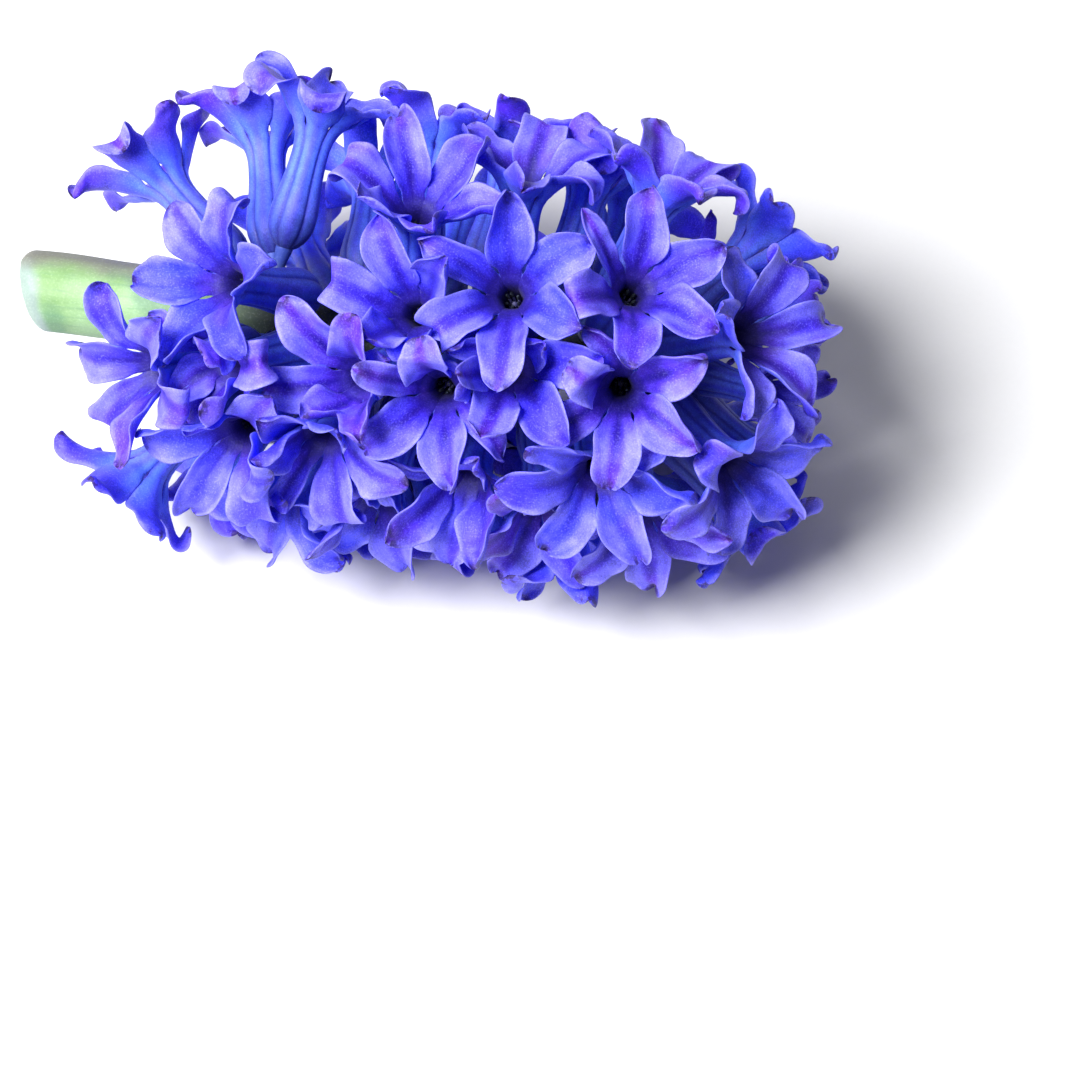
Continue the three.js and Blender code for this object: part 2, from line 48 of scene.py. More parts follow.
stalkShape = {
    "stations": [-7.5, -4, 12, 34, 60, 84, 100, 110],  # mm along the stalk
    "radii": [6.9, 7.0, 6.8, 6.2, 5.2, 4.1, 3.0, 1.6],
    "cutSlant": 16,  # degrees
    "slantTowards": (0.88, 0.47),
    "slantLength": 14,  # mm over which the slant fades
    "firstFoot": 14,
    "lastFoot": 108,
    "sides": 72,
    "rowStep": 1.0,
    "ridges": 11,
    "ridgeDepth": 0.11,
    "unevenness": 0.16,
    "ridgeTurn": 0.02,  # radians that the ridges wind round for each mm
    "capRings": 7,
    "capRays": 0.35,  # mm that the three rays of the cut face stand out
    "capDome": 0.2,
    "endRounding": 0.32,
    "roundedLength": 2.2,
}
tubeShape = {
    "length": 21,
    "roomHeights": [0, 5.5, 13, 21],
    "roomRadii": [1.7, 4.3, 3.9, 4.8],
    "throatRadius": 4.0,
    "outerHeights": [0, 0.5, 1.5, 3.2, 5.5, 8.5, 12, 15.5, 18, 19.6],
    "outerRadii": [0.9, 1.9, 2.9, 3.85, 4.25, 4.0, 3.5, 3.25, 3.25, 3.5],
    "innerHeights": [20.8, 20.2, 19.3, 18.0, 15.4, 12.5, 10.2, 9.6],
    "innerRadii": [2.95, 2.3, 1.9, 1.7, 1.62, 1.6, 1.4, 0.02],
    "rootHeights": [0, 0.12, 0.3],  # the closed root, in finer rows
    "rootRadii": [0.01, 0.55],
    "outerRows": 17,
    "ribbedFrom": 3,  # mm above the root, where the ribs stand out in full
    "groove": 0.0525,
    "grooveWidth": 0.16,
    "rib": 0.035,
    "insideRibbing": -0.8,
    "insideRibbedFrom": 2,  # mm above the hollow's floor
}
lobeShape = {
    "count": 6,
    "length": 14,
    "halfWidth": 3.4,
    "wider": 1.3,
    "widestAt": 0.45,
    "thickness": 0.9,
    "rootChannel": 0.6,
    "tipChannel": 1.1,
    "startAngle": 28,
    "tipShape": 1.5,
    "lengthSpread": 0.11,
    "curlSpread": 16,
    "swingSpread": 5,
    "twistSpread": 16,
    "pressed": 0.25,
    "columns": [-1, -0.955, -0.86, -0.7, -0.5, -0.3, -0.14, 0, 0.14, 0.3, 0.5, 0.7, 0.86, 0.955, 1],
    "rows": 28,
    "rowsForBend": 0.3,
    "rowsForTip": 0.26,
}
acrossLobe = np.array(lobeShape["columns"], float)  # from one rim to the other
# The ways in which a lobe of the solids may be bent to keep clear of its neighbours: swing and curl in
# degrees, and shares of its opening and length
lobeWays = {
    "swings": [0, -10, 10, -20, 20, -30, 30],
    "curls": [0, -20, 20, 45],
    "opens": [1, 0.62, 0.3],
    "lengths": [1, 0.88, 0.76, 0.64],
    "rowsCompared": [0.3, 0.6, 0.86],
    "sameTip": 0.03,  # mm within which two ways have the same tip
    "offSurface": 0.1,  # mm above the surface from which a lobe isn't cut flat
}
pedicelShape = {
    "length": 5,
    "shortest": 1.5,
    "rootDepth": 1.5,
    "sides": 14,
    "rows": 12,
    "overlap": 0.35,
    "radius": 1.1,
    "rootFlare": 0.95,
    "flareLength": 0.9,
    "topFlare": 0.45,
    "bow": 0.35,
}
# How the florets are pushed apart, as for the solids
making = {
    "passes": 90,
    "clearance": 0.8,
    "throatPush": 0.3,
    "footPush": 0.9,
    "pull": 0.06,
    "throatRoom": 6.6,
    "levels": [1, 5, 9, 13, 17, 21],
}

# along, around, lean, turn, reach, curl and size of each floret on the seen side
seenFlorets = [
    (79, 17, -1, 37, 2.5, 92), (80.5, 38, 10, 16, 0.5, 98), (98, 10, 13, 33, 2, 84),
    (98, 40, 10, 33, 0.5, 96), (96, 67, 8, 0, 1, 100), (64, 25, -7, 50, -0.5, 96),
    (62, -4, 4, 50, 1.5, 88), (70, 46, -5, 46, 1.5, 104), (56.5, 47, -15, 15, -0.5, 96),
    (33.5, 22, -36, 10, 2, 92), (115.5, 14, 42, 20, 0.5, 106), (77.5, -30, 5, 30, -1, 88),
    (99, -35, 15, 50, 1, 84), (35, 49, -33, 20, 0, 104), (37.5, 70, -22, 0, 1, 100),
    (51, 68, -12, 0, -1, 96), (22, 56, -40, 0, -0.5, 116), (12.5, -80, -48, 8, -1, 78),
    (28.5, -76, -14, 20, 0.5, 100), (40, -50, 10, 40, 1.5, 84), (59, -63, 0, 12, 0.5, 92),
    (72, -73, 5, 30, 1.5, 88), (87, -54, 8, 5, -1, 84), (115, -72, 38, 30, -1, 90),
    (116.5, 69, 42, 15, 0, 104), (75, 78, -2, 25, -1, 100), (87, 90, 4, 0, -1, 100),
    (103, 91, 14, 40, -1, 100), (43, 95, -12, 30, -1, 100), (60, 96, -4, 50, -1, 104),
    (120, 38, 58, 10, 0.5, 84, 0.76), (120, 160, 60, 30, 0.5, 84, 0.76),
    (120, -80, 58, 50, 0.5, 84, 0.76), (47, -92, -6, 10, -0.5, 92), (92, -91, 8, 20, -0.5, 92),
]
hiddenFlorets = {
    "count": 19,
    "along": (18, 118),
    "firstAround": 116,
    "aroundSpan": 146,
    "goldenPart": 0.618034,
    "lean": (-38, 46),
    "curl": 92,
    "turnSpread": 30,
    "reachSpread": 1.5,
}


def draw(a, b):  # a seeded draw from -1 to 1 for item a, detail b
    state = (a * 7919 + b * 104729 + 12345) & 0xFFFFFFFF
    for _ in range(3):
        state = (state * 1664525 + 1013904223) & 0xFFFFFFFF
    return state / 2147483648 - 1


def varied(middle, spread, a, b):  # a middle that a seeded draw moves by up to its spread
    return middle + spread * draw(a, b)


def mix(a, b, t):
    return a + (b - a) * t


def smooth(low, high, value):  # 0 below low, 1 above high, and an even swing between them
    t = np.clip((value - low) / (high - low), 0, 1)
    return t * t * (3 - 2 * t)


def rounded(share, power):  # 1 in the middle, and closing to 0 where the share is 1
    return np.sqrt(np.clip(1 - np.abs(share) ** power, 0, 1))


def sineOf(turns):
    return np.sin(2 * math.pi * turns)


def unit(v):
    return v / np.linalg.norm(v, axis=-1, keepdims=True)


def curveThrough(places, values, at):  # a soft curve through a table of places and values
    p, v = np.array(places, float), np.array(values, float)
    slopes = np.gradient(v, p)
    i = np.clip(np.searchsorted(p, at, side="right") - 1, 0, len(p) - 2)
    step = p[i + 1] - p[i]
    t = (at - p[i]) / step
    early = (2 * t**3 - 3 * t**2 + 1) * v[i] + (t**3 - 2 * t**2 + t) * step * slopes[i]
    return early + (-2 * t**3 + 3 * t**2) * v[i + 1] + (t**3 - t**2) * step * slopes[i + 1]


def ontoStalk(p):
    x = np.clip(p[..., 0], stalkShape["firstFoot"], stalkShape["lastFoot"])
    out = unit(p[..., 1:]) * np.interp(x, stalkShape["stations"], stalkShape["radii"])[..., None]
    return np.concatenate([x[..., None], out], axis=-1)


def listFlorets():
    named = ("along", "around", "lean", "turn", "reach", "curl", "size")
    listed = [dict(zip(named, (*f, 1)[:len(named)])) for f in seenFlorets]
    h = hiddenFlorets
    for j in range(h["count"]):
        t = j / (h["count"] - 1)
        listed.append({
            "along": mix(*h["along"], t),
            "around": h["firstAround"] + h["aroundSpan"] * ((j * h["goldenPart"]) % 1),
            "lean": mix(*h["lean"], t),
            "turn": h["turnSpread"] * draw(j, 50),
            "reach": h["reachSpread"] * draw(j, 51),
            "curl": h["curl"],
            "size": 1,
        })
    return listed


def placeFlorets():  # the same places as the solids have, pushed apart in the same way
    florets = listFlorets()
    feet, throats = [], []
    for f in florets:
        a, lean = math.radians(f["around"]), math.radians(f["lean"])
        radial = np.array([0, -math.sin(a), math.cos(a)])
        up = radial * math.cos(lean) + axisX * math.sin(lean)
        lowest = -surfaceHeight - making["throatRoom"]
        footHeight = np.interp(f["along"], stalkShape["stations"], stalkShape["radii"]) * radial[2]
        reachable = (lowest + footHeight) / -up[2] if up[2] < 0 else math.inf
        length = min(pedicelShape["length"] + f["reach"] + tubeShape["length"] * f["size"], reachable)
        foot = ontoStalk(np.array([f["along"] - length * math.sin(lean), radial[1], radial[2]]))
        feet.append(foot)
        throats.append(foot + up * length)
    feet, throats = np.array(feet), np.array(throats)
    homes = throats.copy()
    size = np.array([f["size"] for f in florets], float)
    levels = np.array(making["levels"], float)
    girth = np.interp(levels, tubeShape["roomHeights"], tubeShape["roomRadii"])
    one, two = np.triu_indices(len(florets), 1)
    pairs = np.arange(len(one))
    for _ in range(making["passes"]):
        up = throats - feet
        length = np.linalg.norm(up, axis=1)
        up /= length[:, None]
        points = throats[:, None] + up[:, None] * ((levels - tubeShape["length"]) * size[:, None])[..., None]
        gaps = points[one][:, :, None] - points[two][:, None]
        apart = np.linalg.norm(gaps, axis=-1)
        wanted = girth[:, None] * size[one][:, None, None] + girth * size[two][:, None, None]
        lacks = (wanted + making["clearance"] - apart).reshape(len(pairs), -1)
        worst = lacks.argmax(axis=1)
        lack = np.maximum(lacks[pairs, worst], 0)
        push = unit(gaps.reshape(len(pairs), -1, 3)[pairs, worst])
        throatMove, footMove = (homes - throats) * making["pull"], np.zeros_like(feet)
        for which, level, sign in ((one, worst // len(levels), 1), (two, worst % len(levels), -1)):
            share = 1 - (tubeShape["length"] - levels[level]) * size[which] / length[which]
            np.add.at(throatMove, which, push * (sign * share * lack * making["throatPush"])[:, None])
            np.add.at(footMove, which, push * (sign * (1 - share) * lack * making["footPush"])[:, None])
        throats = throats + throatMove
        throats[:, 2] = np.maximum(throats[:, 2], making["throatRoom"] + surfaceHeight)
        feet = ontoStalk(feet + footMove)
        short = tubeShape["length"] * size + pedicelShape["shortest"] - np.linalg.norm(throats - feet, axis=1)
        throats += up * np.maximum(short, 0)[:, None]
    for i, f in enumerate(florets):
        up = unit(throats[i] - feet[i])
        side = unit(axisX - up * up[0])
        base = throats[i] - up * tubeShape["length"] * f["size"]
        f.update(id=i, up=up, side=side, across=np.cross(up, side), base=base, foot=feet[i])
        f["stem"] = np.linalg.norm(base - feet[i])
    return florets


def outOf(floret, p):  # from a floret's own axes to the stalk's
    axes = np.array([floret["side"], floret["across"], floret["up"]])
    return floret["base"] + floret["size"] * (p @ axes)


def directionAt(angle):  # straight out from a floret's own axis
    return np.stack([np.cos(angle), np.sin(angle), 0 * angle], -1)


def rotated(a, b, angle):  # two directions at right angles, turned within their own plane
    cos, sin = np.cos(angle)[..., None], np.sin(angle)[..., None]
    return a * cos + b * sin, b * cos - a * sin


def pastWidest(t):  # from 0 where a lobe is widest to 1 at its tip
    return np.clip((t - lobeShape["widestAt"]) / (1 - lobeShape["widestAt"]), 0, 1)


def roundFloret(floret, k):  # straight out at each column of lobe k, where all six share a ring
    return directionAt(np.radians(floret["turn"] + 60 * k + 30 * acrossLobe))


def lobeSections(floret, k, way, t):
    # Centres and directions of the solid's lobe at t, from 0 at the throat to 1 at the tip.
    # way holds swing, curl, open and length, each one number or a column of them.
    swing, curl, opened, longer = way
    n = floret["id"] * 10 + k
    angle = np.radians(floret["turn"] + 60 * k + (lobeShape["swingSpread"] * draw(n, 1) + swing) * t)
    length = lobeShape["length"] * varied(1, lobeShape["lengthSpread"], n, 2) * longer
    start = math.radians(lobeShape["startAngle"]) * opened
    bend = np.radians(floret["curl"] + lobeShape["curlSpread"] * draw(n, 3) + curl) * opened - start
    lean = start + bend * t
    radius = tubeShape["throatRadius"] + length / bend * (np.cos(start) - np.cos(lean))
    height = tubeShape["length"] + length / bend * (np.sin(lean) - np.sin(start))
    angle, lean, radius, height = np.broadcast_arrays(angle, lean, radius, height)
    even = np.ones_like(lean)
    outward = directionAt(angle)
    sideways = np.stack([-np.sin(angle), np.cos(angle), 0 * angle], -1)
    cosLean, sinLean = np.cos(lean)[..., None], np.sin(lean)[..., None]
    face = -outward * cosLean + upward * sinLean
    lengthways = outward * sinLean + upward * cosLean
    sideways, face = rotated(sideways, face, math.radians(lobeShape["twistSpread"] * draw(n, 4)) * t * even)
    swell = mix(tubeShape["throatRadius"] / 2, lobeShape["halfWidth"], smooth(0, lobeShape["widestAt"], t))
    half = (swell * rounded(pastWidest(t), lobeShape["tipShape"]) * even)[..., None]
    channel = mix(lobeShape["rootChannel"], lobeShape["tipChannel"], t) * even
    channel = channel[..., None] * half / lobeShape["halfWidth"]
    centre = outward * radius[..., None] + upward * height[..., None]
    corners = [centre + face * channel + sideways * half * s for s in (-1, 1)]
    corners += [centre + face * lobeShape["thickness"] / 2 * s for s in (-1, 1)]
    lowest = outOf(floret, np.array(corners))[..., 2].min(axis=0)
    rise = np.maximum(0, surfaceHeight - lobeShape["pressed"] - lowest) / floret["size"]
    lift = np.array([floret["side"][2], floret["across"][2], floret["up"][2]])
    return {"centre": centre + rise[..., None] * lift, "corners": corners, "half": half,
            "sideways": sideways, "face": face, "lengthways": lengthways}


def nodePoints(name):
    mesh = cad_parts[name].data
    found = np.empty(len(mesh.vertices) * 3, np.float32)
    mesh.vertices.foreach_get("co", found)
    return found.reshape(-1, 3).astype(float) * 1000 - flowerShift


def bentWays(floret):  # which way each lobe of the solid is bent, told by where its tip and its edges are
    points = nodePoints(floretNode(floret))
    grid = np.meshgrid(*(lobeWays[k] for k in ("swings", "curls", "opens", "lengths")), indexing="ij")
    ways = np.stack([g.ravel() for g in grid], 1).astype(float)
    compared = np.array(lobeWays["rowsCompared"])
    def offSolid(p):
        return np.linalg.norm(p[:, None] - points, axis=-1).min(axis=1)
    found = []
    for k in range(lobeShape["count"]):
        def misfit(way):
            edges = outOf(floret, np.array(lobeSections(floret, k, way, compared)["corners"])).reshape(-1, 3)
            edges = edges[edges[:, 2] > surfaceHeight + lobeWays["offSurface"]]
            return offSolid(edges).mean() if len(edges) else 0
        off = offSolid(outOf(floret, lobeSections(floret, k, ways.T, 1.0)["centre"]))
        found.append(min(ways[off < off.min() + lobeWays["sameTip"]], key=misfit))
        floret["misfit"] = max(floret.get("misfit", 0), off.min())
    return found


def floretNode(floret):
    return "floret_%02d" % (floret["id"] + 1)


florets = placeFlorets()
chartsInRow = len(florets) // 2  # in the bake's map
for floret in florets:
    floret["ways"] = bentWays(floret)
worst = max(floret["misfit"] for floret in florets)
print("placed %d florets; worst tip off the solids: %.3f mm" % (len(florets), worst))


def gridFaces(rows, columns, first, flip):
    r, c = np.meshgrid(np.arange(rows - 1), np.arange(columns - 1), indexing="ij")
    a = (first + r * columns + c).ravel()
    quads = np.stack([a, a + 1, a + columns + 1, a + columns], 1)
    return quads[:, ::-1] if flip else quads


def addObject(name, data):
    made = bpy.data.objects.new(name, data)
    bpy.context.scene.collection.objects.link(made)
    return made


def newGrid(points, chart, flip=False, **values):
    # points: rows by columns, in mm. chart: left, low, width and height of its place in the bake's map.
    spread = {key: v * np.ones(points.shape[:2]) for key, v in values.items()}
    return {"points": points, "chart": chart, "flip": flip, "values": spread}


def meshFromGrids(name, grids, material):  # one piece, closed where the edges of its grids meet
    points = np.concatenate([g["points"].reshape(-1, 3) for g in grids])
    points = (points + flowerShift) / 1000
    points[:, 2] = np.maximum(points[:, 2], 0.00002)  # just above the floor
    faces, charts, first = [], [], 0
    for g in grids:
        rows, columns = g["points"].shape[:2]
        faces.append(gridFaces(rows, columns, first, g["flip"]))
        first += rows * columns
        left, low, wide, high = g["chart"]
        u, v = np.meshgrid(np.linspace(left, left + wide, columns), np.linspace(low, low + high, rows))
        charts.append(np.stack([u, v], -1).reshape(-1, 2))
    mesh = bpy.data.meshes.new(name)
    mesh.from_pydata(points.tolist(), [], np.concatenate(faces).tolist())
    for key in grids[0]["values"]:
        layer = mesh.attributes.new(key, "FLOAT", "POINT")
        numbers = np.concatenate([g["values"][key].ravel() for g in grids])
        layer.data.foreach_set("value", numbers.astype(np.float32))
    corners = np.empty(len(mesh.loops), np.int32)
    mesh.loops.foreach_get("vertex_index", corners)
    places = np.concatenate(charts)[corners].ravel()
    mesh.uv_layers.new(name="OFBake").data.foreach_set("uv", places.astype(np.float32))
    work = bmesh.new()
    work.from_mesh(mesh)
    bmesh.ops.remove_doubles(work, verts=work.verts, dist=2e-7)
    bmesh.ops.dissolve_degenerate(work, edges=work.edges, dist=1e-8)
    work.to_mesh(mesh)
    work.free()
    mesh.polygons.foreach_set("use_smooth", np.ones(len(mesh.polygons), bool))
    mesh.materials.append(material)
    mesh.update()
    return addObject(name, mesh)


def newMaterial(name, surface):  # surface: what the shader's own sockets hold
    material = bpy.data.materials.new(name)
    material.use_nodes = True
    tree = material.node_tree
    shader = tree.nodes["Principled BSDF"]
    for label, v in surface.items():
        shader.inputs[label].default_value = v
    return material, tree, shader


def plug(tree, source, socket):  # a socket takes a link or a number of its own
    if isinstance(source, bpy.types.NodeSocket):
        tree.links.new(source, socket)
    else:
        socket.default_value = source


def value(tree, operation, *sources):
    node = tree.nodes.new("ShaderNodeMath")
    node.operation = operation
    for source, socket in zip(sources, node.inputs):
        plug(tree, source, socket)
    return node.outputs[0]


def ramp(tree, low, high, source, toLow=0.0, toHigh=1.0):  # a soft step from toLow to toHigh
    node = tree.nodes.new("ShaderNodeMapRange")
    node.interpolation_type = "SMOOTHSTEP"
    given = {"Value": source, "From Min": low, "From Max": high, "To Min": toLow, "To Max": toHigh}
    for name, v in given.items():
        plug(tree, v, node.inputs[name])
    return node.outputs["Result"]


def times(tree, *sources):  # a source given as low, high and what they read is a ramp
    first, *others = (ramp(tree, *s) if isinstance(s, tuple) else s for s in sources)
    for other in others:
        first = value(tree, "MULTIPLY", first, other)
    return first


def blendColours(tree, share, a, b, kind="MIX"):
    node = tree.nodes.new("ShaderNodeMix")
    node.data_type, node.blend_type = "RGBA", kind
    for source, i in ((share, 0), (a, 6), (b, 7)):
        plug(tree, source, node.inputs[i])
    return node.outputs[2]


def cover(tree, skin, over, *shares):  # a colour over the skin, as far as the shares let it show
    return blendColours(tree, times(tree, *shares), skin, over)


def noise(tree, place, scale, detail=3.0, roughness=0.5):
    node = tree.nodes.new("ShaderNodeTexNoise")
    given = {"Vector": place, "Scale": scale, "Detail": detail, "Roughness": roughness}
    for name, v in given.items():
        plug(tree, v, node.inputs[name])
    return node.outputs["Fac"]


def addBump(tree, shader, height, strength, distance):
    bump = tree.nodes.new("ShaderNodeBump")
    bump.inputs["Strength"].default_value = strength
    bump.inputs["Distance"].default_value = distance
    tree.links.new(height, bump.inputs["Height"])
    tree.links.new(bump.outputs["Normal"], shader.inputs["Normal"])


def attribute(tree, name):
    node = tree.nodes.new("ShaderNodeAttribute")
    node.attribute_name = name
    return node.outputs["Fac"]


def objectPlace(tree):
    return tree.nodes.new("ShaderNodeTexCoord").outputs["Object"]


def buildCellGrain():
    # The fine sparkle of a plant's skin: small cells that catch the light, over soft blotches
    tree = bpy.data.node_groups.new("cellGrain", "ShaderNodeTree")
    for name, kind, start in (
        ("Colour", "Color", (0.5, 0.5, 0.5, 1)),
        ("Place", "Vector", (0, 0, 0)),
        ("Cells per Metre", "Float", 2600.0),
        ("Cell Contrast", "Float", 0.2),
        ("Blotches per Metre", "Float", 130.0),
        ("Blotch Contrast", "Float", 0.2),
        ("Sparkle Colour", "Color", (1, 1, 1, 1)),
        ("Sparkle Amount", "Float", 0.2),
    ):
        socket = tree.interface.new_socket(name=name, in_out="INPUT", socket_type="NodeSocket" + kind)
        socket.default_value = start
    for name, kind in (("Colour", "Color"), ("Height", "Float"), ("Blotch", "Float")):
        tree.interface.new_socket(name=name, in_out="OUTPUT", socket_type="NodeSocket" + kind)
    given = tree.nodes.new("NodeGroupInput").outputs
    made = tree.nodes.new("NodeGroupOutput").inputs
    cells = noise(tree, given["Place"], given["Cells per Metre"], 2.0, 0.6)
    blotch = noise(tree, given["Place"], given["Blotches per Metre"], 3.0, 0.55)
    shade = value(tree, "MULTIPLY_ADD", value(tree, "SUBTRACT", cells, 0.5), given["Cell Contrast"], 1.0)
    blotchShade = times(tree, value(tree, "SUBTRACT", blotch, 0.5), given["Blotch Contrast"])
    shade = value(tree, "ADD", shade, blotchShade)
    grey = tree.nodes.new("ShaderNodeCombineColor")
    for i in range(3):
        tree.links.new(shade, grey.inputs[i])
    shaded = blendColours(tree, 1.0, given["Colour"], grey.outputs[0], "MULTIPLY")
    sparkling = cover(tree, shaded, given["Sparkle Colour"], (0.53, 0.72, cells), given["Sparkle Amount"])
    tree.links.new(sparkling, made["Colour"])
    tree.links.new(cells, made["Height"])
    tree.links.new(blotch, made["Blotch"])
    return tree


cellGrain = buildCellGrain()


def wearGrain(tree, shader, *given):  # given in the order of the group's inputs
    node = tree.nodes.new("ShaderNodeGroup")
    node.node_tree = cellGrain
    for source, socket in zip(given, node.inputs):
        plug(tree, source, socket)
    tree.links.new(node.outputs["Colour"], shader.inputs["Base Color"])
    return node.outputs


def varyRoughness(tree, shader, blotch, middle, swing):
    rough = value(tree, "MULTIPLY_ADD", blotch, swing, middle - swing / 2)
    tree.links.new(rough, shader.inputs["Roughness"])


petalFinish = {
    # painted shade inside the throat
    "throat": (0.016, 0.009, 0.17, 1),
    "deep": (0.018, 0.004, 0.30, 1),
    "body": (0.055, 0.030, 0.92, 1),
    "bluer": (0.050, 0.062, 0.98, 1),
    "purpler": (0.100, 0.028, 0.74, 1),
    "tip": (0.100, 0.020, 0.46, 1),
    "violet": (0.125, 0.030, 0.62, 1),
    # pale rims: partly their own colour, partly a painted highlight
    "rim": (0.30, 0.29, 1.0, 1),
    # pale colour of the painted sheen, and of the pale streaks
    "paleStreakAndSheen": (0.19, 0.18, 1.0, 1),
    # painted shade along the very edge of a lobe
    "paintedEdgeShade": (0.040, 0.010, 0.30, 1),
    "outside": (0.092, 0.18, 0.97, 1),
    "outsideGroove": (0.022, 0.030, 0.46, 1),
    "pinch": (0.025, 0.005, 0.09, 1),
    # painted shade on the petals deep in the head, near the stalk
    "sheltered": (0.010, 0.008, 0.10, 1),
    # how far each colour covers what lies under it
    "violetShare": 0.5,
    "paintedSheenShare": 0.85,
    "darkStreakShare": 0.42,
    "paleStreakShare": 0.40,
    "rimShare": 0.5,
    "edgeShadeShare": 0.7,
    "outsideGrooveShare": 0.75,
    "outsideKeelShare": 0.5,
    "outsideSheenShare": 0.35,
    "outsideRimHighlightShare": 0.4,
    "pinchShare": 0.9,
    "shelteredShare": 0.75,
    "midribWidth": 0.52,  # share of half a lobe's width, at its root
    "midribTaper": -0.24,  # how much narrower it is at the tip
    "roughness": (0.48, 0.2),  # its middle, and how far the blotches swing it
    "surface": {
        "Sheen Weight": 0.06,
        "Sheen Roughness": 0.4,
        "Sheen Tint": (0.7, 0.66, 1, 1),
        "Specular IOR Level": 0.38,
    },
    "bump": (0.5, 0.00014),  # strength, and depth in metres
    # cells to a metre and their contrast, the same of blotches, and the colour and amount of the sparkle
    "grain": (3600.0, 1.1, 420.0, 0.9, (0.46, 0.42, 1.0, 1)),
    "sparkleAmount": (0.05, 0.2),  # in the throat and on the lobe
}


def buildPetalMaterial():
    f = petalFinish
    material, tree, shader = newMaterial("petalSkin", f["surface"])
    along, edge, inner, tone = (attribute(tree, n) for n in ("alongLobe", "edge", "inner", "tone"))
    place = objectPlace(tree)
    soft = noise(tree, place, 230.0, 3.0, 0.6)
    wide = noise(tree, place, 95.0, 2.0, 0.5)
    toned = cover(tree, f["body"], f["purpler"], (0.05, 0.9, tone))
    toned = cover(tree, toned, f["bluer"], (-0.05, -0.9, tone))
    # Along the lobe: deep root, body, purple tip
    shifted = value(tree, "ADD", along, times(tree, value(tree, "SUBTRACT", soft, 0.5), 0.3))
    face = cover(tree, f["deep"], toned, (-0.08, 0.40, shifted))
    violets = noise(tree, place, 62.0, 2.0, 0.5)
    face = cover(tree, face, f["violet"], (0.5, 0.68, violets, 0.0, f["violetShare"]))
    face = cover(tree, face, f["tip"], (0.5, 1.0, shifted), (-0.5, 0.6, tone, 0.15, 0.95))
    # Painted sheen: a pale wash beside the midrib, in patches
    sheenPatches = value(tree, "ADD", wide, times(tree, tone, 0.05))
    beside = times(tree, (0.12, 0.5, edge), (0.12, 0.45, shifted))
    face = cover(tree, face, f["paleStreakAndSheen"], (0.36, 0.58, sheenPatches), beside, f["paintedSheenShare"])
    # Fine broken streaks run with the lobe, some dark and some pale
    lobePlace = tree.nodes.new("ShaderNodeCombineXYZ")
    for i, (source, scale) in enumerate(((along, 4.0), (edge, 13.0), (tone, 9.0))):
        tree.links.new(times(tree, source, scale), lobePlace.inputs[i])
    streak = noise(tree, lobePlace.outputs[0], 2.2, 4.0, 0.66)
    face = cover(tree, face, f["deep"], (0.52, 0.72, streak, 0.0, f["darkStreakShare"]))
    face = cover(tree, face, f["paleStreakAndSheen"], (0.48, 0.30, streak, 0.0, f["paleStreakShare"]))
    # The dark midrib is widest at the throat, fades towards the tip and is stronger on some lobes
    ribWidth = value(tree, "MULTIPLY_ADD", along, f["midribTaper"], f["midribWidth"])
    midrib = value(tree, "SUBTRACT", 1.0, ramp(tree, 0.0, ribWidth, edge))
    face = cover(tree, face, f["deep"], midrib, (1.0, 0.3, shifted), (-0.7, 0.5, tone, 0.6, 1.0))
    # Pale rims, partly their own colour and partly a painted highlight, with a thin dark margin of painted
    # shade
    rim = times(tree, (0.72, 0.97, edge), (0.05, 0.45, along))
    face = cover(tree, face, f["rim"], rim, f["rimShare"])
    face = cover(tree, face, f["paintedEdgeShade"], (0.965, 1.0, edge), (0.45, 0.6, soft), f["edgeShadeShare"])
    # Painted shade: the throat falls into the dark
    face = cover(tree, face, f["throat"], (0.13, -0.13, along))
    # The outside: lighter blue, with dark grooves between the tube's ribs
    outside = cover(tree, f["outside"], toned, (0.1, 0.7, along))
    groove = times(tree, (0.62, 0.98, edge), (0.3, 0.02, along), f["outsideGrooveShare"])
    outside = cover(tree, outside, f["outsideGroove"], groove)
    outside = cover(tree, outside, f["body"], (0.5, 0.06, edge), (1.0, 0.3, along), f["outsideKeelShare"])
    # painted sheen in patches on the outside
    outside = cover(tree, outside, f["paleStreakAndSheen"], (0.45, 0.7, sheenPatches), f["outsideSheenShare"])
    # pale rims on the outside too, partly a painted highlight
    outside = cover(tree, outside, f["rim"], rim, f["outsideRimHighlightShare"])
    skin = cover(tree, outside, face, inner)
    # Small dark pinches at the very tip, and painted shade deep in the head near the stalk
    pinches = ramp(tree, 0.44, 0.58, noise(tree, place, 700.0))
    skin = cover(tree, skin, f["pinch"], (0.8, 0.99, along), pinches, f["pinchShare"])
    skin = cover(tree, skin, f["sheltered"], attribute(tree, "sheltered"), f["shelteredShare"])
    sparkle = ramp(tree, 0.0, 0.45, along, *f["sparkleAmount"])
    grain = wearGrain(tree, shader, skin, place, *f["grain"], sparkle)
    varyRoughness(tree, shader, grain["Blotch"], *f["roughness"])
    addBump(tree, shader, value(tree, "MULTIPLY_ADD", streak, -0.8, grain["Height"]), *f["bump"])
    return material


petalSkin = buildPetalMaterial()

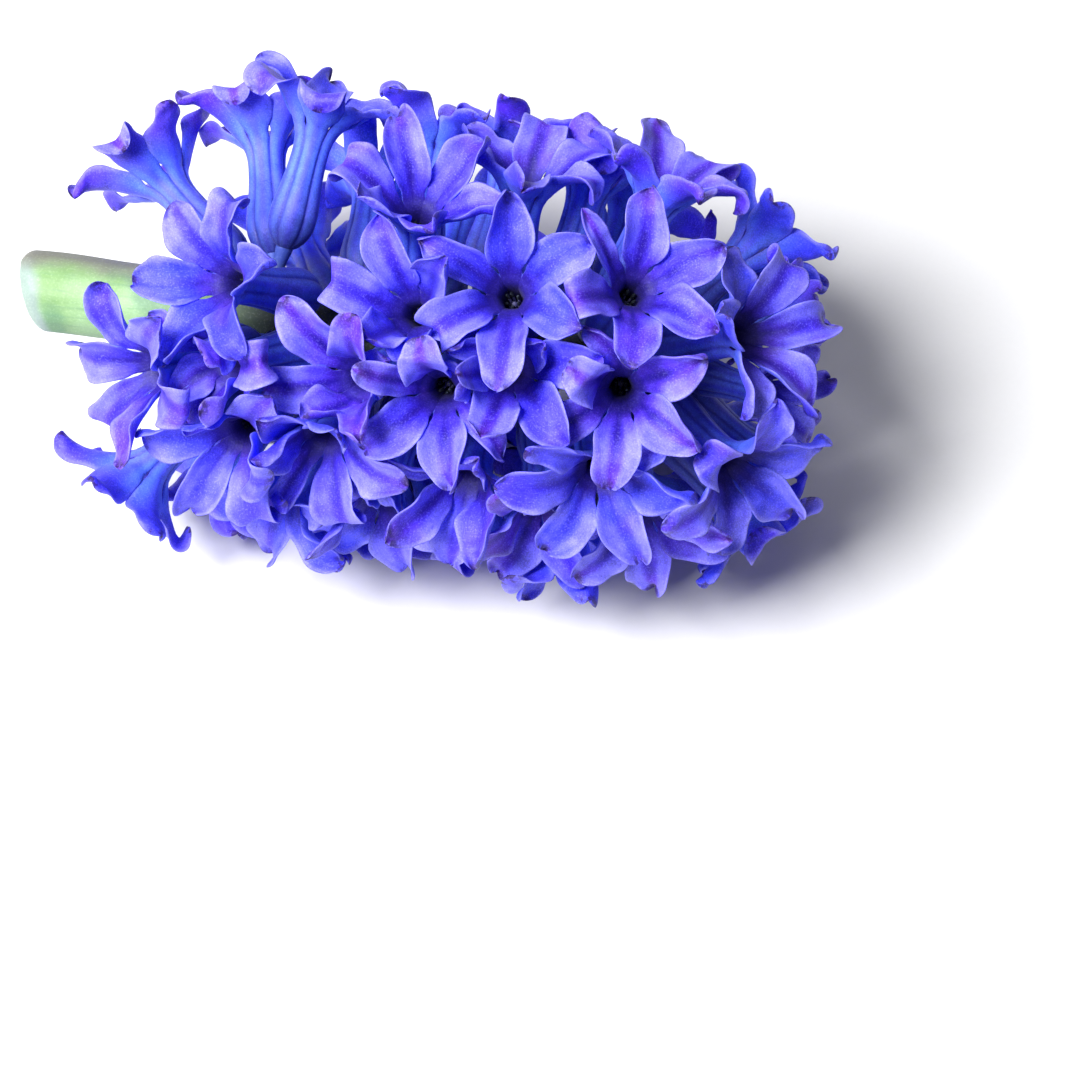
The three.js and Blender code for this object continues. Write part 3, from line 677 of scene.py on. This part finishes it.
perianthLook = {
    "wave": 0.62,  # mm that the rims of a lobe swing up and down
    "rimWaves": (1.6, 0.5),  # waves along a lobe, with a spread
    "sideWave": 0.09,  # share by which the sides swing in and out
    "sideWaves": 1.3,
    "dent": 0.2,  # mm of slow unevenness over a lobe
    "crumple": 0.3,  # mm of small folds towards its tip
    "twist": 22,  # degrees at the tip
    "twistFrom": 0.35,
    "tipHook": 52,  # degrees that a tip hooks over or in, at most
    "hookShare": (0.55, 0.45),  # with a spread
    "hookInBelow": -0.35,  # the draw, from -1 to 1, below which a tip hooks in
    "hookInShare": 0.8,
    "hookFrom": (0.68, 0.05),  # share of the lobe's length, with a spread
    "hookLength": 0.34,
    "foldedShare": 0.26,  # how many of the lobes have a folded tip instead
    "foldAngle": 118,
    "foldShare": (0.8, 0.3),  # with a spread
    "foldLength": 0.16,
    "foldFlattening": 0.65,
    "cupping": (0.75, 1.2),  # how much a lobe's section is rounded, at its root and tip
    "cupSpread": 0.35,
    "pinching": 1.1,
    "pinchAbove": -0.35,  # the draw above which a tip is pinched
    "pinchOver": (0.8, 0.98),
    "midribDepth": 0.2,
    "midribWidth": 0.12,
    "rimThickness": 0.46,
    "midThickness": 0.8,
    "tipThinning": 0.8,
    "bluntness": 2.5,
    "ringRadius": 3.7,
    "ringRise": 0.25,  # mm that the throat's ring stands higher between two lobes
    "leavesRing": 0.2,  # share of its length over which a lobe takes its own shape
    "whorlStep": 0.22,  # mm that every second lobe stands in front of its neighbours
    # share of its hook and of its full width that a lobe tries in turn, to keep clear of the others
    "easings": (
        (1, 1), (0.5, 1), (0, 1), (1, 0.92), (0.5, 0.92), (0, 0.92), (-0.6, 0.92), (0.5, 0.82), (0, 0.78),
        (-0.6, 0.78), (-1, 0.82), (0, 0.66), (1.5, 0.78), (0, 0.55), (2, 0.66), (-1.6, 0.6), (0, 0.45),
    ),
    "sweeps": 3,
    "toneSpread": 0.5,  # how much the lobes of a floret differ in colour
    # where painted shade darkens the petals deep in the head
    "shelteredWithin": (30, 11),  # mm from the stalk's axis
    "shelteredFrom": (6, 26),  # mm along the stalk
    "shelteredUntil": (126, 108),
}


def tipBend(n, hookShare):  # the extra bend near a lobe's tip: a slight hook on most, a sharp fold on some
    look = perianthLook
    folded = (draw(n, 11) + 1) / 2 < look["foldedShare"]
    sense = 1 if draw(n, 12) > look["hookInBelow"] else -look["hookInShare"]
    if folded:
        angle, length = look["foldAngle"] * varied(*look["foldShare"], n, 13), look["foldLength"]
    else:
        angle, length = look["tipHook"] * varied(*look["hookShare"], n, 13) * sense, look["hookLength"]
    start = varied(*look["hookFrom"], n, 14)
    def extraBend(t):
        return hookShare * math.radians(angle) * smooth(start, start + length, t)
    return folded, start, extraBend


def lobeRows(extraBend):  # rows crowd where a tip hooks over and where it closes
    fine = np.linspace(0, 1, 500)
    measure = fine + lobeShape["rowsForBend"] * np.abs(extraBend(fine)) / (math.pi / 2)
    measure = measure + lobeShape["rowsForTip"] * (1 - rounded(pastWidest(fine), 2))
    return np.interp(np.linspace(0, measure[-1], lobeShape["rows"]), measure, fine)


def lobeSurfaces(floret, k, hookShare, widthShare):
    # Outer and inner face of a lobe as grids, from the throat to the tip
    look, n, u = perianthLook, floret["id"] * 10 + k, acrossLobe
    folded, bendFrom, extraBend = tipBend(n, hookShare)
    t = lobeRows(extraBend)
    row = t[:, None]
    s = lobeSections(floret, k, floret["ways"][k], t)
    turned, face = rotated(s["lengthways"], s["face"], -extraBend(t))
    steps = np.diff(t, prepend=0)[:, None] * lobeShape["length"] * floret["ways"][k][3]
    centre = s["centre"] + np.cumsum((turned - s["lengthways"]) * steps, axis=0)
    twist = math.radians(look["twist"] * draw(n, 15)) * smooth(look["twistFrom"], 1, t)
    sideways, face = rotated(s["sideways"], face, twist)
    powers = look["bluntness"], lobeShape["tipShape"]
    blunt, sharp = (np.maximum(1 - pastWidest(row) ** power, 1e-9) for power in powers)
    wider = mix(1, lobeShape["wider"] * widthShare, smooth(0, look["leavesRing"], row))
    half = s["half"] * np.sqrt(blunt / sharp) * wider
    inFront = look["whorlStep"] * (1 if k % 2 else -1) * smooth(0.04, 0.16, row) * smooth(0.7, 0.4, row)
    centre = centre + face * inFront
    # The rounded section, pinched at some tips and flattened by a fold
    pinch = look["pinching"] * max(0.0, draw(n, 16) - look["pinchAbove"]) * smooth(*look["pinchOver"], row)
    cup = mix(*look["cupping"], row) * varied(1, look["cupSpread"], n, 17) + pinch
    if folded:
        cup = cup * (1 - look["foldFlattening"] * smooth(bendFrom - 0.15, bendFrom + 0.05, row))
    angle = cup * u
    x = half * np.sin(angle) / cup
    z = half * (1 - np.cos(angle)) / cup
    # Uneven sides, waved rims, slow dents and small folds
    x = x * (1 + look["sideWave"] * sineOf(look["sideWaves"] * row + draw(n, 18) + 0.2 * np.sign(u)))
    rimWaves = varied(*look["rimWaves"], n, 19) * row
    rimWave = sineOf(rimWaves + draw(n, 20) + 0.27 * np.sign(u) * draw(n, 21))
    z = z + look["wave"] * rimWave * u**2 * smooth(0.15, 0.5, row) * half / lobeShape["halfWidth"]
    z = z + look["dent"] * np.sin(5.3 * row + 2.1 * u + 6 * draw(n, 22)) * smooth(0.1, 0.4, row)
    folds = np.sin(19 * row + 2.6 * draw(n, 23) * u + 6 * draw(n, 24)) * np.cos(2.3 * u + 3 * draw(n, 25))
    z = z + look["crumple"] * folds * smooth(0.55, 0.85, row) * np.minimum(1, half / 1.6)
    middle = centre[:, None] + sideways[:, None] * x[..., None] + face[:, None] * z[..., None]
    normal = face[:, None] * np.cos(angle)[..., None] - sideways[:, None] * np.sin(angle)[..., None]
    # At the throat all six lobes share one ring
    ringOut, start = roundFloret(floret, k), math.radians(lobeShape["startAngle"])
    ring = ringOut * look["ringRadius"] + upward * (tubeShape["length"] + look["ringRise"] * u**2)[:, None]
    ringNormal = upward * math.sin(start) - ringOut * math.cos(start)
    own = smooth(0, look["leavesRing"], row)[..., None]
    middle = mix(ring + (s["centre"] - s["centre"][0])[:, None], middle, own)
    normal = unit(mix(ringNormal, normal, own))
    thick = mix(look["midThickness"], look["rimThickness"], np.abs(u) ** 1.5) / 2
    thick = thick * mix(1, look["tipThinning"], row) * rounded(u, 9) * rounded(row, 14)
    groove = look["midribDepth"] * np.exp(-((u / look["midribWidth"]) ** 2)) * smooth(0, 0.1, row)
    groove = groove * mix(1, 0.35, row) * (half > 0.2)
    outer = middle - normal * (thick + groove / 2)[..., None]
    inner = middle + normal * (thick - groove)[..., None]
    return t, outer, inner


def tubeRows(floret, k, heights, radii, ribbing):
    # Rows of one sixth of the tube; ribbing says how far its ribs and grooves stand out in each row
    fromGroove = (1 - np.abs(acrossLobe)) / tubeShape["grooveWidth"]
    ribs = tubeShape["rib"] * np.cos(math.pi * acrossLobe) - tubeShape["groove"] * np.exp(-(fromGroove**2))
    r = radii[:, None] * (1 + ribbing[:, None] * ribs)
    return r[..., None] * roundFloret(floret, k) + heights[:, None, None] * upward


def settleLobes():
    # Each lobe hooks over as far as it can without cutting through the lobes and tubes near it
    lobeFaces = gridFaces(lobeShape["rows"], len(acrossLobe), 0, False).tolist()
    around = np.linspace(0, 2 * math.pi, 13)
    heights = np.linspace(2, tubeShape["outerHeights"][-1], 8)
    radii = curveThrough(tubeShape["outerHeights"], tubeShape["outerRadii"], heights)
    tube = radii[:, None, None] * directionAt(around) + heights[:, None, None] * upward
    tubeFaces = gridFaces(len(heights), len(around), 0, False).tolist()
    def treeOf(points, faces):
        p = points.reshape(-1, 3)
        return BVHTree.FromPolygons(p.tolist(), faces), p.min(axis=0), p.max(axis=0)
    def hitsOf(tree, low, high, owner):
        return sum(len(tree.overlap(other)) for (i, _), (other, otherLow, otherHigh) in settled.items()
                   if i != owner and (low < otherHigh).all() and (otherLow < high).all())
    settled = {(floret["id"], "tube"): treeOf(outOf(floret, tube), tubeFaces) for floret in florets}
    for sweep in range(perianthLook["sweeps"]):
        touching = 0
        for floret in florets:
            i = floret["id"]
            for k in range(lobeShape["count"]):
                if sweep and not hitsOf(*settled[i, k], i):
                    continue
                best = None
                for way in perianthLook["easings"]:
                    made = treeOf(outOf(floret, lobeSurfaces(floret, k, *way)[2]), lobeFaces)
                    hits = hitsOf(*made, i)
                    if best is None or hits < best[0]:
                        best = (hits, way, made)
                    if not hits:
                        break
                floret.setdefault("eases", {})[k], settled[i, k] = best[1:]
                touching += best[0] > 0
        print("lobes that touch after sweep %d: %d" % (sweep + 1, touching))


def makePerianth(floret):
    look, s = perianthLook, tubeShape
    outerHeights = np.concatenate([s["rootHeights"], np.linspace(0.6, s["outerHeights"][-1], s["outerRows"])])
    outerRadii = curveThrough(s["outerHeights"], s["outerRadii"], outerHeights)
    outerRadii[:2] = s["rootRadii"]
    innerHeights, innerRadii = np.array(s["innerHeights"][::-1]), np.array(s["innerRadii"][::-1])
    outerRibbing = np.minimum(1, outerHeights / s["ribbedFrom"])
    fromFloor = innerHeights - innerHeights[0]
    innerRibbing = s["insideRibbing"] * np.minimum(1, fromFloor / s["insideRibbedFrom"])
    tone = draw(floret["id"], 60)
    grids = []
    for k in range(lobeShape["count"]):
        t, outer, inner = lobeSurfaces(floret, k, *floret["eases"][k])
        sides = ((outerHeights, outerRadii, outerRibbing, outer),
                 (innerHeights, innerRadii, innerRibbing, inner))
        for isInner, (heights, radii, ribbing, lobe) in enumerate(sides):
            points = outOf(floret, np.concatenate([tubeRows(floret, k, heights, radii, ribbing), lobe]))
            alongLobe = np.concatenate([(heights - s["length"]) / lobeShape["length"], t])[:, None]
            radial = np.linalg.norm(points[..., 1:], axis=-1)
            x = points[..., 0]
            # painted shade: darker near the stalk's axis and within the head
            shelter = smooth(*look["shelteredWithin"], radial) * smooth(*look["shelteredFrom"], x)
            chart = (k / 6 + 0.006, isInner / 2 + 0.006, 1 / 6 - 0.012, 0.488)
            grids.append(newGrid(
                points, chart, not isInner,
                alongLobe=alongLobe,
                edge=np.abs(acrossLobe),
                inner=isInner,
                tone=tone + look["toneSpread"] * draw(floret["id"] * 10 + k, 61) * smooth(0, 0.25, alongLobe),
                sheltered=shelter * smooth(*look["shelteredUntil"], x)))
    piece = meshFromGrids("perianth_%02d" % (floret["id"] + 1), grids, petalSkin)
    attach(piece, "root")
    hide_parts(floretNode(floret))


settleLobes()
for floret in florets:
    makePerianth(floret)
print("made the perianths")

stalkFinish = {
    "green": (0.20, 0.36, 0.13, 1),
    "paleGreen": (0.28, 0.45, 0.22, 1),
    "coolPatch": (0.125, 0.26, 0.145, 1),
    "paleEnd": (0.29, 0.38, 0.34, 1),
    # painted shade along the side of the stalk that faces up
    "paintedShadeTop": (0.18, 0.17, 0.145, 1),
    # painted shade on the stalk deep in the head
    "stalkShadeInHead": (0.035, 0.045, 0.035, 1),
    "cutFace": (0.36, 0.55, 0.42, 1),
    "pedicelEnd": (0.05, 0.09, 0.45, 1),
    "streak": (0.16, 0.30, 0.16, 1),
    # how far each colour covers what lies under it
    "streakShare": 0.5,
    "coolShare": 0.75,
    "topShadeShare": 0.9,
    "paleRange": (-1.4, -3.6),  # mm along the stalk between which it turns pale at the cut end
    "stalkShadeRange": (12.0, 40.0),  # and between which painted shade darkens it into the head
    "cutRimShare": 0.3,  # how much of the skin's colour the cut face has at its rim
    "streakStretch": (0.12, 1, 1),
    "roughness": (0.55, 0.2),
    "surface": {"Specular IOR Level": 0.4},
    "bump": (0.3, 0.0002),
    "grain": (2600.0, 0.3, 200.0, 0.35, (0.75, 0.85, 0.65, 1), 0.08),
}


def buildStalkMaterial():
    f = stalkFinish
    material, tree, shader = newMaterial("stalkSkin", f["surface"])
    station, facing, climb, cut = (attribute(tree, n) for n in ("station", "upper", "climb", "cut"))
    place = objectPlace(tree)
    stretched = tree.nodes.new("ShaderNodeMapping")
    stretched.inputs["Scale"].default_value = f["streakStretch"]
    tree.links.new(place, stretched.inputs["Vector"])
    streaks = noise(tree, stretched.outputs[0], 900.0, 3.0, 0.6)
    soft = noise(tree, place, 90.0, 3.0, 0.55)
    skin = cover(tree, f["green"], f["paleGreen"], (0.35, 0.65, soft))
    skin = cover(tree, skin, f["streak"], (0.52, 0.68, streaks), f["streakShare"])
    skin = cover(tree, skin, f["coolPatch"], (0.48, 0.62, noise(tree, place, 75.0, 2.0)), f["coolShare"])
    fromEnd = value(tree, "MULTIPLY_ADD", soft, 4.0, station)
    skin = cover(tree, skin, f["paleEnd"], (*f["paleRange"], fromEnd))
    # Painted shade: the side that faces up is darkened to grey
    shade = value(tree, "MULTIPLY_ADD", value(tree, "SUBTRACT", soft, 0.5), 0.8, facing)
    skin = cover(tree, skin, f["paintedShadeTop"], (0.3, 0.9, shade), f["topShadeShare"])
    # Painted shade: the stalk darkens into the head
    skin = cover(tree, skin, f["stalkShadeInHead"], (*f["stalkShadeRange"], station))
    skin = cover(tree, skin, f["pedicelEnd"], (0.12, 0.75, climb))
    skin = cover(tree, skin, f["cutFace"], cut)
    grain = wearGrain(tree, shader, skin, place, *f["grain"])
    varyRoughness(tree, shader, grain["Blotch"], *f["roughness"])
    addBump(tree, shader, value(tree, "ADD", streaks, times(tree, grain["Height"], 0.4)), *f["bump"])
    return material


def tubeAlong(centres, radii, first, second, sides):
    # Rings round a row of centres; first and second are the directions across it
    a = np.linspace(0, 2 * math.pi, sides + 1)[:, None]
    return centres[:, None] + (np.cos(a) * first + np.sin(a) * second) * radii[:, None, None]


def makeStalk():
    s, p = stalkShape, pedicelShape
    first, last = s["stations"][0], s["stations"][-1]
    roundedTo = first + s["roundedLength"]
    endRows = np.linspace(first, roundedTo, 8)[:-1]
    x = np.concatenate([endRows, np.linspace(roundedTo, last, int((last - first) / s["rowStep"]))])[:, None]
    a = np.linspace(0, 2 * math.pi, s["sides"] + 1)
    r = curveThrough(s["stations"], s["radii"], x)
    r = r - s["ridgeDepth"] * np.abs(np.sin(s["ridges"] * a / 2 + s["ridgeTurn"] * x)) ** 3
    r = r + s["unevenness"] * np.sin(0.11 * x + 2 * a + 1.3) * np.cos(0.23 * x - a)
    r = r * np.sqrt(1 - s["endRounding"] * np.clip(1 - (x - first) / s["roundedLength"], 0, 1) ** 2)
    r[-1] = 0.02
    slant = math.tan(math.radians(s["cutSlant"]))
    upper = s["slantTowards"][0] * np.cos(a) + s["slantTowards"][1] * np.sin(a)
    def slanted(x, r, slant):
        return np.stack([x - slant * upper * r, r * np.cos(a), r * np.sin(a)], -1)
    skin = slanted(x, r, slant * np.clip(1 - (x - first) / s["slantLength"], 0, 1))
    share = np.linspace(0.001, 1, s["capRings"])[:, None]
    dome = s["capRays"] * (1 - share**2) * np.cos(3 * a) ** 2 + s["capDome"] * (1 - share)
    cap = slanted(first + dome, r[:1] * share, slant)
    cut = 1 - stalkFinish["cutRimShare"] * share**6
    grids = [
        newGrid(skin, (0.01, 0.51, 0.98, 0.48), True, station=x, upper=upper, climb=0, cut=0),
        newGrid(cap, (0.01, 0.4, 0.19, 0.09), True, station=first, upper=0, climb=0, cut=cut),
    ]
    for i, floret in enumerate(florets):
        reach = floret["stem"] + p["overlap"]
        h = np.linspace(-p["rootDepth"], reach, p["rows"])
        t = np.clip(h / reach, 0, 1)
        flare = p["rootFlare"] * np.exp(-np.maximum(h + 0.3, 0) / p["flareLength"])
        radii = (p["radius"] + flare + p["topFlare"] * smooth(0.55, 1, t)) * floret["size"]
        bow = p["bow"] * np.sin(math.pi * t) * draw(i, 70)
        centres = floret["foot"] + floret["up"] * h[:, None] + floret["side"] * bow[:, None]
        points = tubeAlong(centres, radii, floret["side"], floret["across"], p["sides"])
        row, column = divmod(i, chartsInRow)
        chart = (0.22 + 0.0285 * column, 0.02 + 0.23 * row, 0.025, 0.2)
        grids.append(newGrid(points, chart, station=floret["foot"][0], upper=0, climb=t[:, None], cut=0))
    piece = meshFromGrids("stalkWithPedicels", grids, buildStalkMaterial())
    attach(piece, "root")
    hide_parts("scape")


bractLook = {
    "pale": (0.55, 0.58, 0.66, 1),
    "root": (0.25, 0.30, 0.30, 1),
    "lilac": (0.30, 0.26, 0.66, 1),
    "dried": (0.36, 0.19, 0.07, 1),
    "lilacShare": 0.6,
    "roughness": (0.455, 0.15),
    "surface": {"Specular IOR Level": 0.5},
    "bump": (0.2, 0.0001),
    "grain": (3000.0, 0.3, 300.0, 0.3, (0.55, 0.58, 0.66, 1), 0.15),
    "rows": 9,
    "columns": 7,
    "below": 1.5,  # mm from the pedicel's foot towards the cut end
    "sunk": 0.25,
    "length": (4.6, 1.2),  # mm, with a spread
    "halfWidth": 1.25,
    "widthSpread": 0.15,
    "bluntness": 1.7,
    "thickness": 0.16,
    "lean": 0.75,  # radians at the root, and how much more at the tip
    "curve": 0.9,
    "backward": 0.8,
    "cupping": 0.5,
}


def makeBracts():
    b = bractLook
    material, tree, shader = newMaterial("bractSkin", b["surface"])
    place = objectPlace(tree)
    skin = cover(tree, b["root"], b["pale"], (0.0, 0.45, attribute(tree, "climb")))
    skin = cover(tree, skin, b["lilac"], (0.4, 0.65, noise(tree, place, 320.0)), b["lilacShare"])
    skin = cover(tree, skin, b["dried"], (0.5, 0.7, attribute(tree, "dryness")))
    grain = wearGrain(tree, shader, skin, place, *b["grain"])
    varyRoughness(tree, shader, grain["Blotch"], *b["roughness"])
    addBump(tree, shader, grain["Height"], *b["bump"])
    t, u = np.linspace(0, 1, b["rows"])[:, None], np.linspace(-1, 1, b["columns"])
    lean = b["lean"] + b["curve"] * t
    thick = b["thickness"] / 2 * rounded(u, 6) * rounded(t, 8)
    grids = []
    for i, floret in enumerate(florets):
        away = unit(np.array([0, *floret["foot"][1:]]))
        aside = unit(np.cross(away, axisX))
        rising = away * np.sin(lean) - axisX * np.cos(lean) * b["backward"]
        front = unit(np.cross(aside, rising))[:, None]
        root = floret["foot"] - axisX * b["below"] - away * b["sunk"]
        centre = root + np.cumsum(rising * varied(*b["length"], i, 80) / b["rows"], axis=0)
        half = b["halfWidth"] * rounded(t, b["bluntness"]) * varied(1, b["widthSpread"], i, 81)
        sheet = centre[:, None] + aside * (half * u)[..., None]
        for sign in (1, -1):
            points = sheet + front * (u**2 * half * b["cupping"] + thick * sign)[..., None]
            row, column = divmod(i, chartsInRow)
            chart = (column / chartsInRow + 0.003, row / 2 + (0.25 if sign > 0 else 0.01), 0.03, 0.22)
            grids.append(newGrid(points, chart, sign < 0, climb=t, dryness=draw(i, 82)))
    piece = meshFromGrids("bracts", grids, material)
    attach(piece, "root")


stamenLook = {
    "filament": (0.34, 0.33, 0.66, 1),
    "anther": (0.014, 0.019, 0.032, 1),
    "pollen": (0.15, 0.19, 0.24, 1),
    "pollenShare": 0.7,
    "surface": {"Roughness": 0.6},
    "bump": (0.3, 0.0001),
    "grain": (4200.0, 0.4, 700.0, 0.3, (0.15, 0.19, 0.24, 1), 0.1),
    "sides": 8,
    "ringRadius": 0.95,
    "outwardLean": 0.05,
    "turnSpread": 12,  # degrees
    "filamentHeights": [12.0, 14.0],  # mm above the floret's foot, below its top
    "filamentRadii": [0.28, 0.24, 0.2],
    "antherFoot": (15.4, 0.5),  # mm, with a spread
    "antherLength": 2.7,
    "antherRadii": [0.02, 0.2448, 0.34, 0.3128, 0.306, 0.34, 0.2312, 0.02],
    "antherFlatness": 0.75,
    "pistilHeights": [9.6, 12.5, 14.2, 14.8, 15.4],
    "pistilRadii": [0.7, 0.5, 0.35, 0.475, 0.02],
}


def makeStamens():
    s = stamenLook
    material, tree, shader = newMaterial("stamenSkin", s["surface"])
    place, anther, climb = objectPlace(tree), attribute(tree, "anther"), attribute(tree, "climb")
    skin = cover(tree, s["filament"], s["anther"], anther)
    dust = ramp(tree, 0.54, 0.66, noise(tree, place, 2400.0))
    skin = cover(tree, skin, s["pollen"], dust, anther, s["pollenShare"])
    grain = wearGrain(tree, shader, skin, place, *s["grain"])
    addBump(tree, shader, value(tree, "ADD", grain["Height"], climb), *s["bump"])
    grids = []
    def addRod(floret, n, out, heights, radii, isAnther=0, flatness=1.0):  # rod n of the floret
        heights, radii = np.array(heights), np.array(radii)
        outwards = s["ringRadius"] + s["outwardLean"] * (heights - s["antherFoot"][0])
        centres = out * outwards[:, None] + upward * heights[:, None]
        points = outOf(floret, tubeAlong(centres, radii, axisX, np.array([0, flatness, 0]), s["sides"]))
        row, column = divmod(floret["id"], 8)
        chart = (column / 8 + (n % 5) * 0.024 + 0.002, row / 7 + (n // 5) * 0.045 + 0.002, 0.02, 0.04)
        climb = np.linspace(0, 1, len(radii))[:, None]
        grids.append(newGrid(points, chart, anther=isAnther, climb=climb))
    for i, floret in enumerate(florets):
        for k in range(6):
            out = directionAt(math.radians(floret["turn"] + 60 * k + s["turnSpread"] * draw(i * 10 + k, 90)))
            foot = varied(*s["antherFoot"], i * 10 + k, 91)
            addRod(floret, 2 * k, out, [*s["filamentHeights"], foot + 0.4], s["filamentRadii"])
            heights = np.linspace(foot, foot + s["antherLength"], len(s["antherRadii"]))
            addRod(floret, 2 * k + 1, out, heights, s["antherRadii"], 1, s["antherFlatness"])
        addRod(floret, 12, 0 * upward, s["pistilHeights"], s["pistilRadii"])
    piece = meshFromGrids("stamensAndPistils", grids, material)
    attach(piece, "root")


makeStalk()
makeBracts()
makeStamens()
print("made the stalk, bracts, stamens and pistils")

studio = {
    "floorColour": (0.80, 0.80, 0.81, 1),
    "floorSize": 3.0,
    "floorSurface": {"Roughness": 0.85, "Specular IOR Level": 0.2},
    "floorGrain": (900.0, 0.03, 6.0, 0.03, (1, 1, 1, 1), 0.0),
    "worldColour": (0.93, 0.95, 1.0, 1),
    "worldStrength": 0.16,
    "keyPower": 9.7,
    "keySize": 0.32,
    "keyPlace": (-0.28, -0.22, 0.59),
    "fillPower": 0.7,
    "fillSize": 0.4,
    "fillPlace": (-0.16, 0.46, 0.46),
    "litPlace": (0, 0, 0.04),
}
viewpoint = {
    "elevation": 62.0,
    "azimuth": 8.7,
    "lens": 74.0,
    "distance": 0.378,
    "centre": (0.00172, -0.00051, 0.0400),
    "right": 0.0181,  # m that the view's middle lies beside the flower's, and above it
    "up": -0.0348,
}


def makeStudio():
    material, tree, shader = newMaterial("paleFloor", studio["floorSurface"])
    wearGrain(tree, shader, studio["floorColour"], objectPlace(tree), *studio["floorGrain"])
    half = studio["floorSize"] / 2
    mesh = bpy.data.meshes.new("floor")
    corners = [(-half, -half, 0), (half, -half, 0), (half, half, 0), (-half, half, 0)]
    mesh.from_pydata(corners, [], [(0, 1, 2, 3)])
    mesh.materials.append(material)
    floor = addObject("floor", mesh)
    world = bpy.data.worlds.new("softWorld")
    world.use_nodes = True
    background = world.node_tree.nodes["Background"]
    background.inputs["Color"].default_value = studio["worldColour"]
    background.inputs["Strength"].default_value = studio["worldStrength"]
    bpy.context.scene.world = world
    for name in ("key", "fill"):
        light = bpy.data.lights.new(name + "Light", "AREA")
        light.energy, light.size = studio[name + "Power"], studio[name + "Size"]
        lamp = addObject(name + "Light", light)
        lamp.location = studio[name + "Place"]
        towards = Vector(studio["litPlace"]) - lamp.location
        lamp.rotation_euler = towards.to_track_quat("-Z", "Y").to_euler()
    bpy.context.scene.view_settings.view_transform = "Standard"


def makeCamera():
    v = viewpoint
    e, a = math.radians(v["elevation"]), math.radians(v["azimuth"])
    back = Vector((math.sin(a) * math.cos(e), -math.cos(a) * math.cos(e), math.sin(e)))
    right = Vector((math.cos(a), math.sin(a), 0))
    up = back.cross(right)
    place = Vector(v["centre"]) + right * v["right"] + up * v["up"] + back * v["distance"]
    data = bpy.data.cameras.new("camera")
    data.lens, data.sensor_width = v["lens"], 36.0
    data.clip_start, data.clip_end = 0.01, 20.0
    camera = addObject("camera", data)
    camera.matrix_world = Matrix.Translation(place) @ Matrix((right, up, back)).transposed().to_4x4()
    bpy.context.scene.camera = camera


makeStudio()
makeCamera()
print("made the floor, light and camera")
